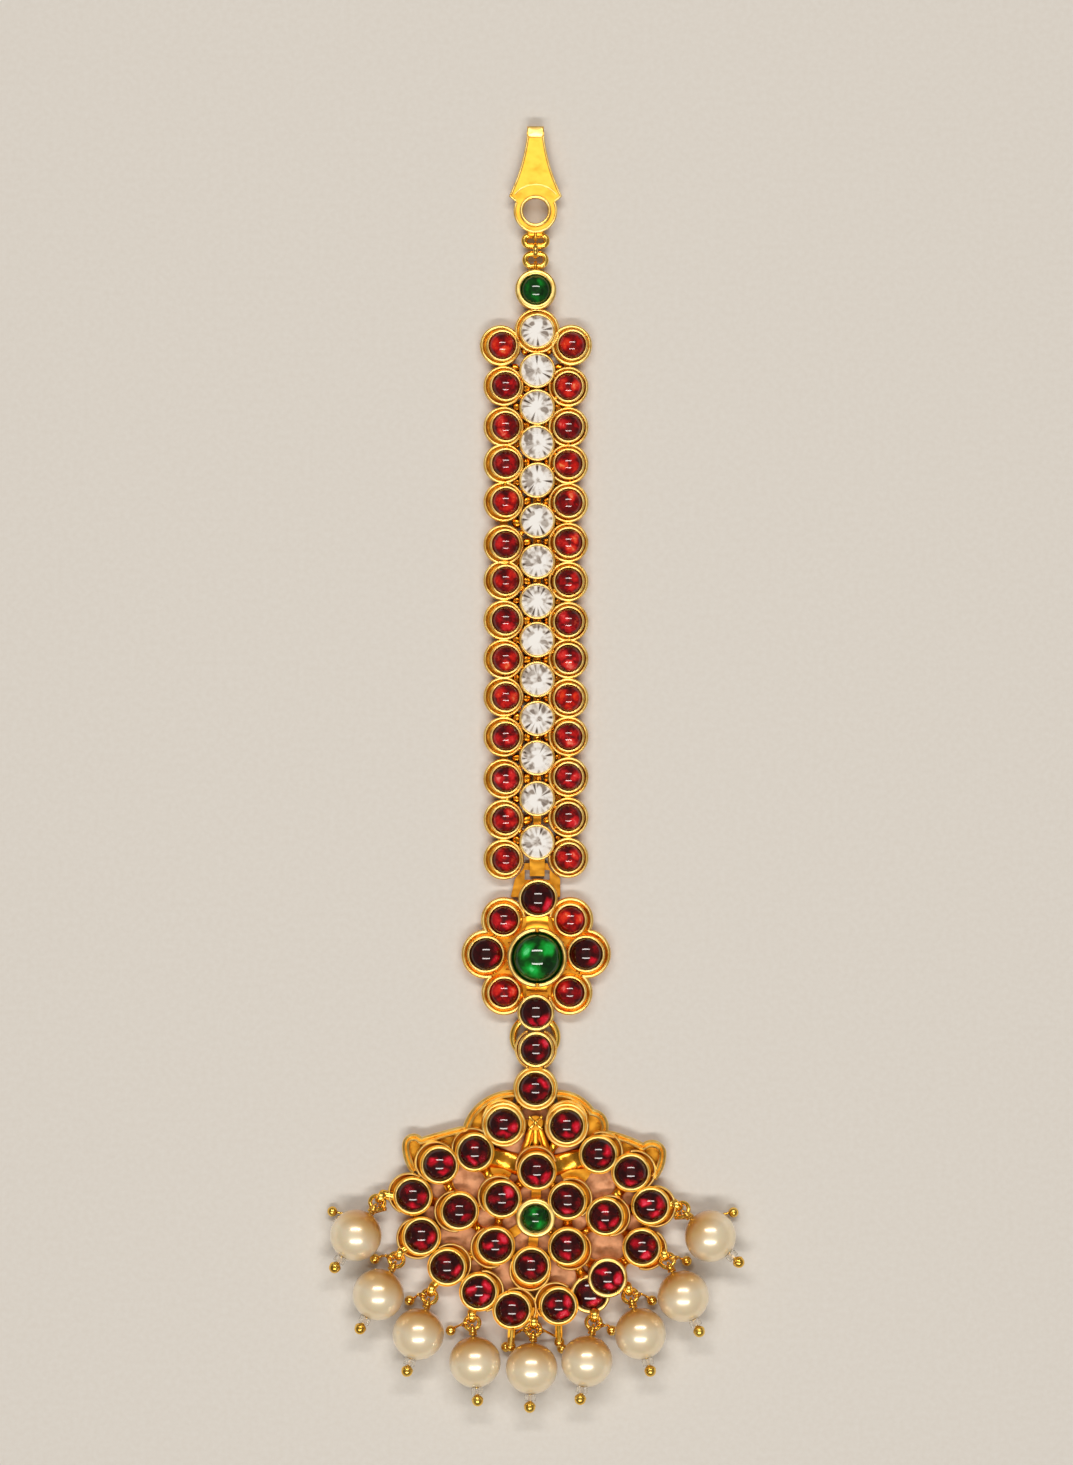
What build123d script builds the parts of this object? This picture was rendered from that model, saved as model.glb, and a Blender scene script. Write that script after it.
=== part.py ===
from build123d import *

import os
from math import atan2, cos, degrees, radians, sin, sqrt

# A maang tikka, the jewel that hangs from a hair parting onto the forehead, lying on its back.
# Millimetres. X is across, +Y runs from the pendant to the hook, +Z comes out of the face,
# and every plate has its back at or above z = 0.

os.makedirs("parts", exist_ok=True)

# ---------------------------------------------------------------- driving dimensions

FIT = 0.03  # gap between a stone and its cup
PLATE = 0.8  # thickness of the soldered back plates
STONE_SEAT = PLATE + FIT
BEZEL = 0.3  # wall of a stone's cup

BAND_X = 0.2  # the band hangs a little to one side of the row's middle
BAND_SIDE = 3.66  # from the band's middle line to the middle of a side ruby
BAND_RUBY_R = 1.63
BAND_BEZEL = 0.18  # a band ruby sits in a thinner wall than the other stones
BAND_CUP_TOP = 2.1
SCALLOP_R = 2.36
SCALLOP_MIDDLE_X = 0.05  # middle line of the two scalloped edges
SCALLOP_X = 3.76  # from there to the middle of a scallop
FIRST_SCALLOP_X = 4.13
SCALLOP_RIM = 0.32
SCALLOP_TOP = 1.5
WHITE_R = 1.92
GIRDLE_BAND = 0.12  # height of a white stone's edge
WHITE_CUP_R = 2.09
WHITE_CUP_TOP = 1.95
FIRST_WHITE_RIM_R = 2.65  # a raised ring round the topmost white stone
RIB = 0.9  # width of the ribs that join the rows at the back
SIDE_RIB_SHIFT = -1.9  # the side ribs lie this much lower than the middle one

TOP_GREEN = (0.05, 55.8)
TOP_GREEN_R = 1.82
TOP_GREEN_CUP_R = 2.37

FLOWER = (0.2, -22.0)
FLOWER_GREEN_R = 2.97
FLOWER_GREEN_CUP_R = 3.47
FLOWER_GREEN_TOP = 3.0
FLOWER_PLATE_R = 4.67
PETAL_MARGIN = 0.93  # from a petal's stone to the petal's outer edge
PETAL_RIM = 0.42
PETAL_RIM_TOP = 1.7
PETAL_CUP_TOP = 2.1

RAISED_FLOOR = 1.4  # two cups stand this high, over the wide ring behind them
RAISED_TOP = 3.0
RAISED_WALL = 0.25
RAISED_PLATE = 0.5  # floor of a raised cup
RAISED_SEAT = RAISED_FLOOR + RAISED_PLATE + FIT
WIDE_RING_WIRE = 0.42
WIDE_RING_Z = 0.92
WIDE_RING_TOP_Y = -29.05
WIDE_RING_BOTTOM_Y = -33.6
WIDE_RING_HALF_WIDTH = 2.55
BACK_EYE_R = 0.69
BACK_EYE_WIRE = 0.2

FAN_CUP_R = 2.3
FAN_CUP_TOP = 2.2
FAN_DOME_TOP = 3.35
FAN_RIM = 0.45
FAN_RIM_TOP = 1.75
FAN_BRIDGE = 1.1
FAN_BRIDGE_TOP = 0.7
OVER_ALL = 5.0  # a height above every cup, where the cuts for the stones end

PEARL_R = 3.03
PEARL_BORE_R = 0.34
PIN_WIRE = 0.22
PIN_TILT = 8.0  # degrees that a pin's loop dips towards the fan
PIN_BALL_R = 0.66
PIN_EYE_R = 0.48
PIN_EYE_WIRE = 0.19
PIN_EYE_AT = PEARL_R + PIN_EYE_R + PIN_EYE_WIRE + 0.06
SPACER_R = 0.68
SPACER_LENGTH = 0.75
DROP_RING_WIRE = 0.2
DROP_RING_R = 0.8
DROP_RING_LENGTH = 1.75  # from the lug's middle to the middle of the pin's loop
LUG_Z = 1.6
LUG_R = 0.75
LUG_HOLE_R = 0.35
LUG_WIDTH = 0.8
BALL_R = 0.6
BALL_Z = 0.75
BALL_WIRE = 0.15
BALL_EYE_R = 0.45
BALL_EYE_WIRE = 0.12
BALL_EYE_AT = 1.0  # along the drop's ring, from the lug
BALL_WIRE_START = DROP_RING_R + BALL_EYE_R + 0.05
BALL_WIRE_BEND = 0.3

HOOK_STRIP = 1.95
HOOK_METAL = 0.6
HOOK_BEND_R = 1.05
HOOK_TOP_Y = 74.91
HOOK_TONGUE_Y = 68.2
HOOK_HOLE = (0, 64.95)
HOOK_DISC_R = 2.5
HOOK_HOLE_R = 1.47
HOOK_FACE_Z = 2 * HOOK_BEND_R
CHAIN_Z = 1.2
CHAIN_WIRE = 0.25

# ---------------------------------------------------------------- where the stones are

# row's middle white, its left ruby, its right ruby: Y of each, from the top of the band
BAND_ROWS = (
    (51.0, 49.3, 49.35),
    (46.4, 44.6, 44.5),
    (42.15, 39.85, 39.8),
    (37.95, 35.55, 35.5),
    (33.6, 31.1, 31.0),
    (28.9, 26.1, 26.35),
    (24.15, 21.95, 21.8),
    (19.5, 17.3, 17.1),
    (15.0, 12.75, 12.8),
    (10.4, 8.35, 8.2),
    (5.85, 3.7, 3.75),
    (1.25, -1.2, -1.0),
    (-3.5, -5.95, -5.7),
    (-8.6, -10.6, -10.4),
)
FIRST_ROW_OUT = 0.4  # the first pair of rubies stands wider than the rest

# petal: stone's X, stone's Y, stone's radius
PETALS = (
    (0.3, -15.15, 2.0),
    (-3.7, -17.65, 1.72),
    (4.1, -17.65, 1.72),
    (-5.75, -21.65, 1.95),
    (5.9, -21.6, 1.95),
    (-3.65, -26.1, 1.72),
    (4.0, -26.1, 1.72),
)
LOW_PETAL = (0.05, -28.4)
LOW_PETAL_R = 1.85
LINK = (0.05, -32.7)
LINK_R = 1.8

# name: stone's X, stone's Y
OUTER_STONES = {
    "top": (0.0, -37.3),
    "left a": (-3.7, -41.5),
    "left b": (-7.08, -44.7),
    "left c": (-11.2, -46.15),
    "left d": (-14.3, -49.8),
    "left e": (-13.3, -54.5),
    "left f": (-10.3, -58.05),
    "left g": (-6.6, -60.95),
    "left h": (-2.73, -63.1),
    "right h": (2.69, -62.6),
    "right e": (12.43, -55.8),
    "right d": (13.44, -50.95),
    "right c": (11.13, -47.05),
    "right b": (7.35, -44.95),
    "right a": (3.65, -41.6),
}
INNER_STONES = {
    "upper": (0.17, -46.9),
    "left upper": (-3.9, -50.15),
    "right upper": (3.75, -50.35),
    "left outer": (-8.88, -51.55),
    "right outer": (8.15, -52.2),
    "left lower": (-4.68, -55.6),
    "right lower": (3.75, -55.7),
    "lower": (-0.5, -57.95),
}
FAN_GREEN = (0.0, -52.35)
FAN_GREEN_R = 1.75
RUBY_R = 1.95
SUNK_STONE = (6.4, -61.3)  # this cup is set low, and the next one overlaps it
HIGH_STONE = (8.4, -59.25)
SUNK_TOP = 1.2
HIGH_FLOOR = 1.75
HIGH_TOP = 3.1

# pairs of stones whose cups are soldered together by a short bar at the back
BRIDGES = (
    ("top", "left a"),
    ("top", "right a"),
    ("left a", "left b"),
    ("left b", "left c"),
    ("left c", "left d"),
    ("left d", "left e"),
    ("left e", "left f"),
    ("left f", "left g"),
    ("left g", "left h"),
    ("left h", "right h"),
    ("right h", "sunk"),
    ("high", "right e"),
    ("right e", "right d"),
    ("right d", "right c"),
    ("right c", "right b"),
    ("right b", "right a"),
    ("left a", "right a"),
    ("left b", "left upper"),
    ("right b", "right upper"),
    ("left c", "left outer"),
    ("right c", "right outer"),
    ("left e", "left outer"),
    ("right d", "right outer"),
    ("left outer", "left upper"),
    ("right outer", "right upper"),
    ("upper", "left upper"),
    ("upper", "right upper"),
    ("upper", "green"),
    ("green", "left lower"),
    ("green", "right lower"),
    ("green", "lower"),
    ("left lower", "lower"),
    ("right lower", "lower"),
    ("left lower", "left g"),
    ("right lower", "high"),
    ("lower", "left h"),
    ("lower", "right h"),
)

# the fan's upper edge: each row is an arc, start, a point on it, end
LEFT_EDGE = (
    ((-2.3, -37.9), (-5.7, -38.8), (-8.1, -42.0)),
    ((-8.1, -42.0), (-11.0, -42.75), (-13.4, -43.45)),
    ((-13.4, -43.45), (-14.7, -43.15), (-15.1, -43.9)),
    ((-15.1, -43.9), (-14.95, -45.2), (-14.1, -46.9)),
)
RIGHT_EDGE = (
    ((2.3, -37.9), (4.9, -38.5), (6.6, -40.1)),
    ((6.6, -40.1), (8.0, -41.2), (7.9, -42.5)),
    ((7.9, -42.5), (10.5, -43.2), (12.6, -44.15)),
    ((12.6, -44.15), (14.2, -43.9), (14.8, -44.7)),
    ((14.8, -44.7), (14.7, -45.8), (13.8, -47.6)),
)

# drop: pearl's X, pearl's Y, a point that its lug lies towards (X, Y), X and Y where the lug is soldered
DROPS = (
    (-20.9, -54.3, -18.0, -49.9, -14.3, -49.8),
    (-18.3, -61.2, -15.8, -56.5, -13.3, -54.5),
    (-13.65, -65.8, -12.1, -60.7, -10.3, -58.05),
    (-7.05, -69.05, -7.4, -64.2, -6.6, -60.95),
    (-0.45, -69.8, -0.2, -64.7, 0.0, -62.85),
    (5.98, -68.95, 6.9, -63.8, 6.82, -63.42),
    (12.2, -65.75, 10.9, -60.9, 8.4, -59.25),
    (17.2, -61.4, 15.1, -56.8, 12.43, -55.8),
    (20.35, -54.4, 16.5, -50.9, 13.44, -50.95),
)

# short posts under the two lowest cups: stone's X and Y, X and Y of the post's end
POSTS = (
    (-2.73, -63.1, -2.85, -66.3),
    (2.69, -62.6, 2.72, -66.3),
)

# ball behind the pearls: drop that carries it, side of that drop's ring (1 is the left, going from
# the pearl to the fan), X and Y where its wire bends, X and Y of the ball
BALLS_LEFT = (
    (1, -1, -20.7, -52.35, -23.7, -51.7),
    (2, 1, -17.9, -56.9, -18.75, -57.25),
    (3, 1, -14.0, -61.7, -14.7, -62.1),
    (4, 1, -9.3, -65.2, -9.9, -65.6),
    (5, 1, -2.7, -66.3, -3.45, -67.5),
)
BALLS_RIGHT = (
    (5, -1, 2.5, -66.4, 3.1, -67.7),
    (6, -1, 8.4, -64.9, 8.9, -65.6),
    (7, -1, 12.9, -61.6, 13.6, -62.1),
    (8, -1, 16.9, -57.2, 17.65, -57.5),
    (9, 1, 20.0, -52.4, 23.1, -51.8),
)


def band_places(side):
    """The middles of one side's rubies: side is -1 at the left and 1 at the right."""
    column = 1 if side < 0 else 2
    places = []
    for index, row in enumerate(BAND_ROWS):
        out = FIRST_ROW_OUT if index == 0 else 0
        places.append((BAND_X + side * (BAND_SIDE + out), row[column]))
    return places


LEFT_PLACES = band_places(-1)
RIGHT_PLACES = band_places(1)
WHITE_PLACES = [(BAND_X, row[0]) for row in BAND_ROWS]
SCALLOPS = []
for index, row in enumerate(BAND_ROWS):
    out = FIRST_SCALLOP_X if index == 0 else SCALLOP_X
    SCALLOPS += [(SCALLOP_MIDDLE_X - out, row[1]), (SCALLOP_MIDDLE_X + out, row[2])]


# ---------------------------------------------------------------- shapes that repeat


def cup_walls(places, outer_r, inner_r, bottom, top):
    """Adds round walls that stand on a plate and hold stones."""
    with BuildSketch(Plane.XY.offset(bottom)) as walls:
        with Locations(*places):
            Circle(outer_r)
        with Locations(*places):
            Circle(inner_r, mode=Mode.SUBTRACT)
    extrude(walls.sketch, amount=top - bottom)


def discs(places, radius, bottom, top, mode=Mode.ADD):
    """Adds or cuts flat discs."""
    with BuildSketch(Plane.XY.offset(bottom)) as flat:
        with Locations(*places):
            Circle(radius)
    extrude(flat.sketch, amount=top - bottom, mode=mode)


def bar(start, end, width, bottom, top):
    """Adds a straight bar of rectangular section between two points of the plan."""
    line = Vector(*end) - Vector(*start)
    middle = (Vector(*start) + Vector(*end)) / 2
    angle = degrees(atan2(line.Y, line.X))
    with BuildSketch(Plane.XY.offset(bottom)) as strip:
        with Locations((middle.X, middle.Y)):
            Rectangle(line.length, width, rotation=angle)
    extrude(strip.sketch, amount=top - bottom)


def edge_on_eye(place, ring_r, wire):
    """Adds an upright round eye, whose hole runs along X."""
    with Locations(place):
        Torus(ring_r, wire, rotation=(0, 90, 0))


def cabochon(radius, seat, girdle, top):
    """Makes one domed stone about the Z axis."""
    with BuildPart() as stone:
        with BuildSketch(Plane.XZ) as half:
            with BuildLine():
                Polyline((0, top), (0, seat), (radius, seat), (radius, girdle))
                TangentArc((0, top), (radius, girdle), tangent=(1, 0))
            make_face()
        revolve(half.sketch, axis=Axis.Z)
    return stone.part


def brilliant(radius, culet, girdle, crown, table_r):
    """Makes one round brilliant about the Z axis, pointed below and flat on top."""
    with BuildPart() as stone:
        with BuildSketch(Plane.XZ) as half:
            with BuildLine():
                Polyline(
                    (0, culet),
                    (radius, girdle),
                    (radius, girdle + GIRDLE_BAND),
                    (table_r, crown),
                    (0, crown),
                    close=True,
                )
            make_face()
        revolve(half.sketch, axis=Axis.Z)
    return stone.part


def oval_ring(half_width, straight, wire):
    """Makes one closed oval ring about the origin, flat in XY and long in Y."""
    with BuildPart() as ring:
        with BuildLine() as path:
            Line((half_width, -straight / 2), (half_width, straight / 2))
            ThreePointArc(
                (half_width, straight / 2),
                (0, straight / 2 + half_width),
                (-half_width, straight / 2),
            )
            Line((-half_width, straight / 2), (-half_width, -straight / 2))
            ThreePointArc(
                (-half_width, -straight / 2),
                (0, -straight / 2 - half_width),
                (half_width, -straight / 2),
            )
        with BuildSketch(Plane(origin=(half_width, 0, 0), z_dir=(0, 1, 0))) as section:
            Circle(wire)
        sweep(section.sketch, path=path.line)
    return ring.part


def write(name, piece):
    """Labels a finished piece and writes it as its own file."""
    piece.part.label = name
    export_step(piece.part, f"parts/{name}.step")


# ---------------------------------------------------------------- hook

# The strip is bent over at the top: a tongue at the back slides into the hair, and the blade in
# front flares to two points above a round disc with a hole.
BEND_Y = HOOK_TOP_Y - HOOK_BEND_R
BLADE_BOTTOM_Z = HOOK_FACE_Z - HOOK_METAL
BLADE_TIP = (3.03, 66.7)
BLADE_SHOULDER = (0.98, 73.5)
BLADE_WAIST = (1.72, 70.0)
BLADE_NOTCH = (2.05, 65.9)
BLADE_OVERLAP = 1.5  # how far the bent strip runs into the blade
DISC_RISE = 0.2  # of the disc over the blade
HOLE_RING = 0.32  # width of the raised ring round the hole
HOLE_RING_RISE = 0.4
CHAIN_EYE_R = 0.55
CHAIN_EYE_WIRE = 0.2
HOOK_EYE_Y = 62.2

with BuildPart() as hair_hook:
    with BuildSketch(Plane.YZ.offset(-HOOK_STRIP / 2)) as bend:
        with BuildLine():
            Line((HOOK_TONGUE_Y, 0), (BEND_Y, 0))
            ThreePointArc((BEND_Y, 0), (HOOK_TOP_Y, HOOK_BEND_R), (BEND_Y, HOOK_FACE_Z))
            Line((BEND_Y, HOOK_FACE_Z), (BEND_Y - BLADE_OVERLAP, HOOK_FACE_Z))
            Line((BEND_Y - BLADE_OVERLAP, HOOK_FACE_Z), (BEND_Y - BLADE_OVERLAP, BLADE_BOTTOM_Z))
            Line((BEND_Y - BLADE_OVERLAP, BLADE_BOTTOM_Z), (BEND_Y, BLADE_BOTTOM_Z))
            ThreePointArc(
                (BEND_Y, BLADE_BOTTOM_Z),
                (HOOK_TOP_Y - HOOK_METAL, HOOK_BEND_R),
                (BEND_Y, HOOK_METAL),
            )
            Line((BEND_Y, HOOK_METAL), (HOOK_TONGUE_Y, HOOK_METAL))
            Line((HOOK_TONGUE_Y, HOOK_METAL), (HOOK_TONGUE_Y, 0))
        make_face()
    extrude(bend.sketch, amount=HOOK_STRIP)
    with BuildSketch(Plane.XY.offset(BLADE_BOTTOM_Z)) as blade:
        with BuildLine():
            Line((0, BLADE_SHOULDER[1]), BLADE_SHOULDER)
            ThreePointArc(BLADE_SHOULDER, BLADE_WAIST, BLADE_TIP)
            Line(BLADE_TIP, BLADE_NOTCH)
            Line(BLADE_NOTCH, (0, BLADE_NOTCH[1]))
            mirror(about=Plane.YZ)
        make_face()
    extrude(blade.sketch, amount=HOOK_METAL)
    discs([HOOK_HOLE], HOOK_DISC_R, BLADE_BOTTOM_Z, HOOK_FACE_Z + DISC_RISE)
    discs([HOOK_HOLE], HOOK_HOLE_R + HOLE_RING, HOOK_FACE_Z, HOOK_FACE_Z + HOLE_RING_RISE)
    discs([HOOK_HOLE], HOOK_HOLE_R, 0, OVER_ALL, mode=Mode.SUBTRACT)
    edge_on_eye((0, HOOK_EYE_Y, CHAIN_Z), CHAIN_EYE_R, CHAIN_EYE_WIRE)
write("hair_hook", hair_hook)

# ---------------------------------------------------------------- rings from hook to band

# Two flat rings with one small upright link between them.
UPPER_RING_TOP = HOOK_EYE_Y
UPPER_RING_BOTTOM = 60.75
UPPER_RING_HALF_WIDTH = 1.45
LOWER_RING_TOP = 60.1
LOWER_RING_BOTTOM = 58.5
LOWER_RING_HALF_WIDTH = 1.3
SMALL_LINK = (0, (UPPER_RING_BOTTOM + LOWER_RING_TOP) / 2, CHAIN_Z)
SMALL_LINK_R = 0.785
SMALL_LINK_WIRE = 0.18


def flat_ring(top, bottom, half_width):
    """Makes a ring that is wider than it is long, and the place in the chain where it lies flat."""
    arc_r = (top - bottom) / 2
    place = Location((0, (top + bottom) / 2, CHAIN_Z), (0, 0, 90))
    return oval_ring(arc_r, 2 * (half_width - arc_r), CHAIN_WIRE), place


UPPER_RING, UPPER_PLACE = flat_ring(UPPER_RING_TOP, UPPER_RING_BOTTOM, UPPER_RING_HALF_WIDTH)
LOWER_RING, LOWER_PLACE = flat_ring(LOWER_RING_TOP, LOWER_RING_BOTTOM, LOWER_RING_HALF_WIDTH)

with BuildPart() as hook_ring:
    with Locations(UPPER_PLACE):
        add(UPPER_RING)
write("hook_ring", hook_ring)

with BuildPart() as hook_link:
    edge_on_eye(SMALL_LINK, SMALL_LINK_R, SMALL_LINK_WIRE)
write("hook_link", hook_link)

with BuildPart() as band_ring:
    with Locations(LOWER_PLACE):
        add(LOWER_RING)
write("band_ring", band_ring)

# ---------------------------------------------------------------- band

# One soldered solid: a scalloped plate with a raised edge, a cup for each stone, an eye at the
# top, and a tab at the bottom that wraps round the flower's bar.
TAB_WIDTH = 1.75
TAB_END_Y = -12.55
TAB_WALL = 0.42
TAB_TOP_Z = 1.35
TAB_SLOT_Z = (0.28, 0.87)
TAB_START_Y = -10.45
FIRST_ROW_Y = BAND_ROWS[0][0]
LAST_ROW_Y = BAND_ROWS[-1][0]
BAND_MIDDLE_Y = (FIRST_ROW_Y + LAST_ROW_Y) / 2
BAND_LENGTH = FIRST_ROW_Y - LAST_ROW_Y
BAND_RUBY_PLACES = LEFT_PLACES + RIGHT_PLACES

with BuildPart() as band_frame:
    with BuildSketch() as plan:
        with Locations(*SCALLOPS):
            Circle(SCALLOP_R)
        with Locations(*WHITE_PLACES):
            Circle(WHITE_CUP_R)
        with Locations(WHITE_PLACES[0]):
            Circle(FIRST_WHITE_RIM_R)
        with Locations(TOP_GREEN):
            Circle(TOP_GREEN_CUP_R)
        with Locations((BAND_X, BAND_MIDDLE_Y)):
            Rectangle(RIB, BAND_LENGTH)
        for side in (-1, 1):
            rib_x = SCALLOP_MIDDLE_X + side * SCALLOP_X
            with Locations((rib_x, BAND_MIDDLE_Y + SIDE_RIB_SHIFT)):
                Rectangle(RIB, BAND_LENGTH)
    extrude(plan.sketch, amount=PLATE)
    cup_walls(SCALLOPS, SCALLOP_R, SCALLOP_R - SCALLOP_RIM, PLATE, SCALLOP_TOP)
    discs([WHITE_PLACES[0]], FIRST_WHITE_RIM_R, PLATE, SCALLOP_TOP)
    discs(BAND_RUBY_PLACES, BAND_RUBY_R + FIT + BAND_BEZEL, PLATE, BAND_CUP_TOP)
    discs(WHITE_PLACES, WHITE_CUP_R, PLATE, WHITE_CUP_TOP)
    discs([TOP_GREEN], TOP_GREEN_CUP_R, PLATE, BAND_CUP_TOP)
    discs(BAND_RUBY_PLACES, BAND_RUBY_R + FIT, PLATE, OVER_ALL, mode=Mode.SUBTRACT)
    discs(WHITE_PLACES, WHITE_R + FIT, PLATE, OVER_ALL, mode=Mode.SUBTRACT)
    discs([TOP_GREEN], TOP_GREEN_R + FIT, PLATE, OVER_ALL, mode=Mode.SUBTRACT)
    edge_on_eye((0, LOWER_RING_BOTTOM, CHAIN_Z), CHAIN_EYE_R, CHAIN_EYE_WIRE)
    with BuildSketch(Plane.YZ.offset(BAND_X - TAB_WIDTH / 2)) as tab:
        with BuildLine():
            Polyline(
                (LAST_ROW_Y, 0),
                (TAB_END_Y, 0),
                (TAB_END_Y, TAB_TOP_Z),
                (TAB_START_Y, TAB_TOP_Z),
                (TAB_START_Y, TAB_SLOT_Z[1]),
                (TAB_END_Y + TAB_WALL, TAB_SLOT_Z[1]),
                (TAB_END_Y + TAB_WALL, TAB_SLOT_Z[0]),
                (LAST_ROW_Y, TAB_SLOT_Z[0]),
                close=True,
            )
        make_face()
    extrude(tab.sketch, amount=TAB_WIDTH)
write("band_frame", band_frame)

BAND_GREEN = cabochon(TOP_GREEN_R, STONE_SEAT, girdle=1.9, top=3.05)
BAND_RUBY = cabochon(BAND_RUBY_R, STONE_SEAT, girdle=1.95, top=3.1)
BAND_WHITE = brilliant(WHITE_R, culet=STONE_SEAT, girdle=1.75, crown=2.3, table_r=1.1)

with BuildPart() as band_green_stone:
    with Locations(TOP_GREEN):
        add(BAND_GREEN)
write("band_green_stone", band_green_stone)

with BuildPart() as band_rubies_left:
    with Locations(*LEFT_PLACES):
        add(BAND_RUBY)
write("band_rubies_left", band_rubies_left)

with BuildPart() as band_rubies_right:
    with Locations(*RIGHT_PLACES):
        add(BAND_RUBY)
write("band_rubies_right", band_rubies_right)

with BuildPart() as band_white_stones:
    with Locations(*WHITE_PLACES):
        add(BAND_WHITE)
write("band_white_stones", band_white_stones)

# ---------------------------------------------------------------- flower

# A flat bail at the top goes through the band's tab. The lowest petal is raised, and the wide
# ring runs under it through a small eye.
BAIL_BAR = (-11.85, -11.05)
BAIL_Z = (0.35, 0.8)
BAIL_SHOULDER_Y = -12.9
BAIL_FOOT_Y = -15.0
BAIL_OPENING_Y = (-12.98, BAIL_BAR[0])
BAIL_OPENING_WIDTH = 2.9
BAIL_CLEAR = 0.13  # from the bail to the band's last scallops
LAST_SCALLOPS = SCALLOPS[-2:]
TOP_PETAL = PETALS[0]
RIMMED_PETALS = PETALS[1:]
PETAL_BEZEL = 0.21
STEM_START = (0.2, -26.0)  # a short stem carries the lowest petal
STEM_WIDTH = 2.6
PETAL_DOME = 0.62  # a petal stone's dome, as a share of its radius

with BuildPart() as flower_frame:
    with BuildSketch() as plan:
        with Locations(FLOWER):
            Circle(FLOWER_PLATE_R)
        for x, y, radius in RIMMED_PETALS:
            with Locations((x, y)):
                Circle(radius + PETAL_MARGIN)
        with Locations(TOP_PETAL[:2]):
            Circle(TOP_PETAL[2] + BEZEL)
    extrude(plan.sketch, amount=PLATE)
    with BuildSketch(Plane.XY.offset(PLATE)) as petal_rims:
        for x, y, radius in RIMMED_PETALS:
            with Locations((x, y)):
                Circle(radius + PETAL_MARGIN)
        for x, y, radius in RIMMED_PETALS:
            with Locations((x, y)):
                Circle(radius + PETAL_MARGIN - PETAL_RIM, mode=Mode.SUBTRACT)
    extrude(petal_rims.sketch, amount=PETAL_RIM_TOP - PLATE)
    for x, y, radius in PETALS:
        discs([(x, y)], radius + FIT + PETAL_BEZEL, PLATE, PETAL_CUP_TOP)
    discs([FLOWER], FLOWER_GREEN_CUP_R, PLATE, FLOWER_GREEN_TOP)
    discs([LOW_PETAL], LOW_PETAL_R + FIT + RAISED_WALL, RAISED_FLOOR, RAISED_TOP)
    bar(LOW_PETAL, STEM_START, STEM_WIDTH, PLATE / 2, RAISED_FLOOR + RAISED_PLATE)
    for x, y, radius in PETALS:
        discs([(x, y)], radius + FIT, PLATE, OVER_ALL, mode=Mode.SUBTRACT)
    discs([FLOWER], FLOWER_GREEN_R + FIT, PLATE, OVER_ALL, mode=Mode.SUBTRACT)
    discs([LOW_PETAL], LOW_PETAL_R + FIT, RAISED_FLOOR + RAISED_PLATE, OVER_ALL, mode=Mode.SUBTRACT)
    with BuildSketch(Plane.XY.offset(BAIL_Z[0])) as bail:
        with BuildLine():
            Polyline(
                (-1.25, BAIL_BAR[1]),
                (1.6, BAIL_BAR[1]),
                (2.9, BAIL_SHOULDER_Y),
                (2.9, BAIL_FOOT_Y),
                (-2.9, BAIL_FOOT_Y),
                (-2.4, BAIL_SHOULDER_Y),
                close=True,
            )
        make_face()
        with Locations((BAND_X, sum(BAIL_OPENING_Y) / 2)):
            Rectangle(
                BAIL_OPENING_WIDTH,
                BAIL_OPENING_Y[1] - BAIL_OPENING_Y[0],
                mode=Mode.SUBTRACT,
            )
        with Locations(*LAST_SCALLOPS):
            Circle(SCALLOP_R + BAIL_CLEAR, mode=Mode.SUBTRACT)
    extrude(bail.sketch, amount=BAIL_Z[1] - BAIL_Z[0])
    edge_on_eye((LOW_PETAL[0], WIDE_RING_TOP_Y, WIDE_RING_Z), BACK_EYE_R, BACK_EYE_WIRE)
write("flower_frame", flower_frame)

FLOWER_GREEN = cabochon(FLOWER_GREEN_R, STONE_SEAT, girdle=2.75, top=4.6)
LOW_RUBY = cabochon(LOW_PETAL_R, RAISED_SEAT, girdle=2.85, top=4.05)
PETAL_RUBIES = []
for x, y, radius in PETALS:
    PETAL_RUBIES.append(cabochon(radius, STONE_SEAT, girdle=1.95, top=1.95 + PETAL_DOME * radius))

with BuildPart() as flower_green_stone:
    with Locations(FLOWER):
        add(FLOWER_GREEN)
write("flower_green_stone", flower_green_stone)

with BuildPart() as flower_rubies:
    for (x, y, radius), stone in zip(PETALS, PETAL_RUBIES):
        with Locations((x, y)):
            add(stone)
    with Locations(LOW_PETAL):
        add(LOW_RUBY)
write("flower_rubies", flower_rubies)

# ---------------------------------------------------------------- wide ring behind the link

WIDE_RING_Y = (WIDE_RING_TOP_Y + WIDE_RING_BOTTOM_Y) / 2
WIDE_RING_ARC = (WIDE_RING_TOP_Y - WIDE_RING_BOTTOM_Y) / 2
WIDE_RING = oval_ring(WIDE_RING_ARC, 2 * (WIDE_RING_HALF_WIDTH - WIDE_RING_ARC), WIDE_RING_WIRE)
WIDE_RING_X = -0.05

with BuildPart() as link_ring:
    with Locations(Location((WIDE_RING_X, WIDE_RING_Y, WIDE_RING_Z), (0, 0, 90))):
        add(WIDE_RING)
write("link_ring", link_ring)

# ---------------------------------------------------------------- fan

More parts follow.
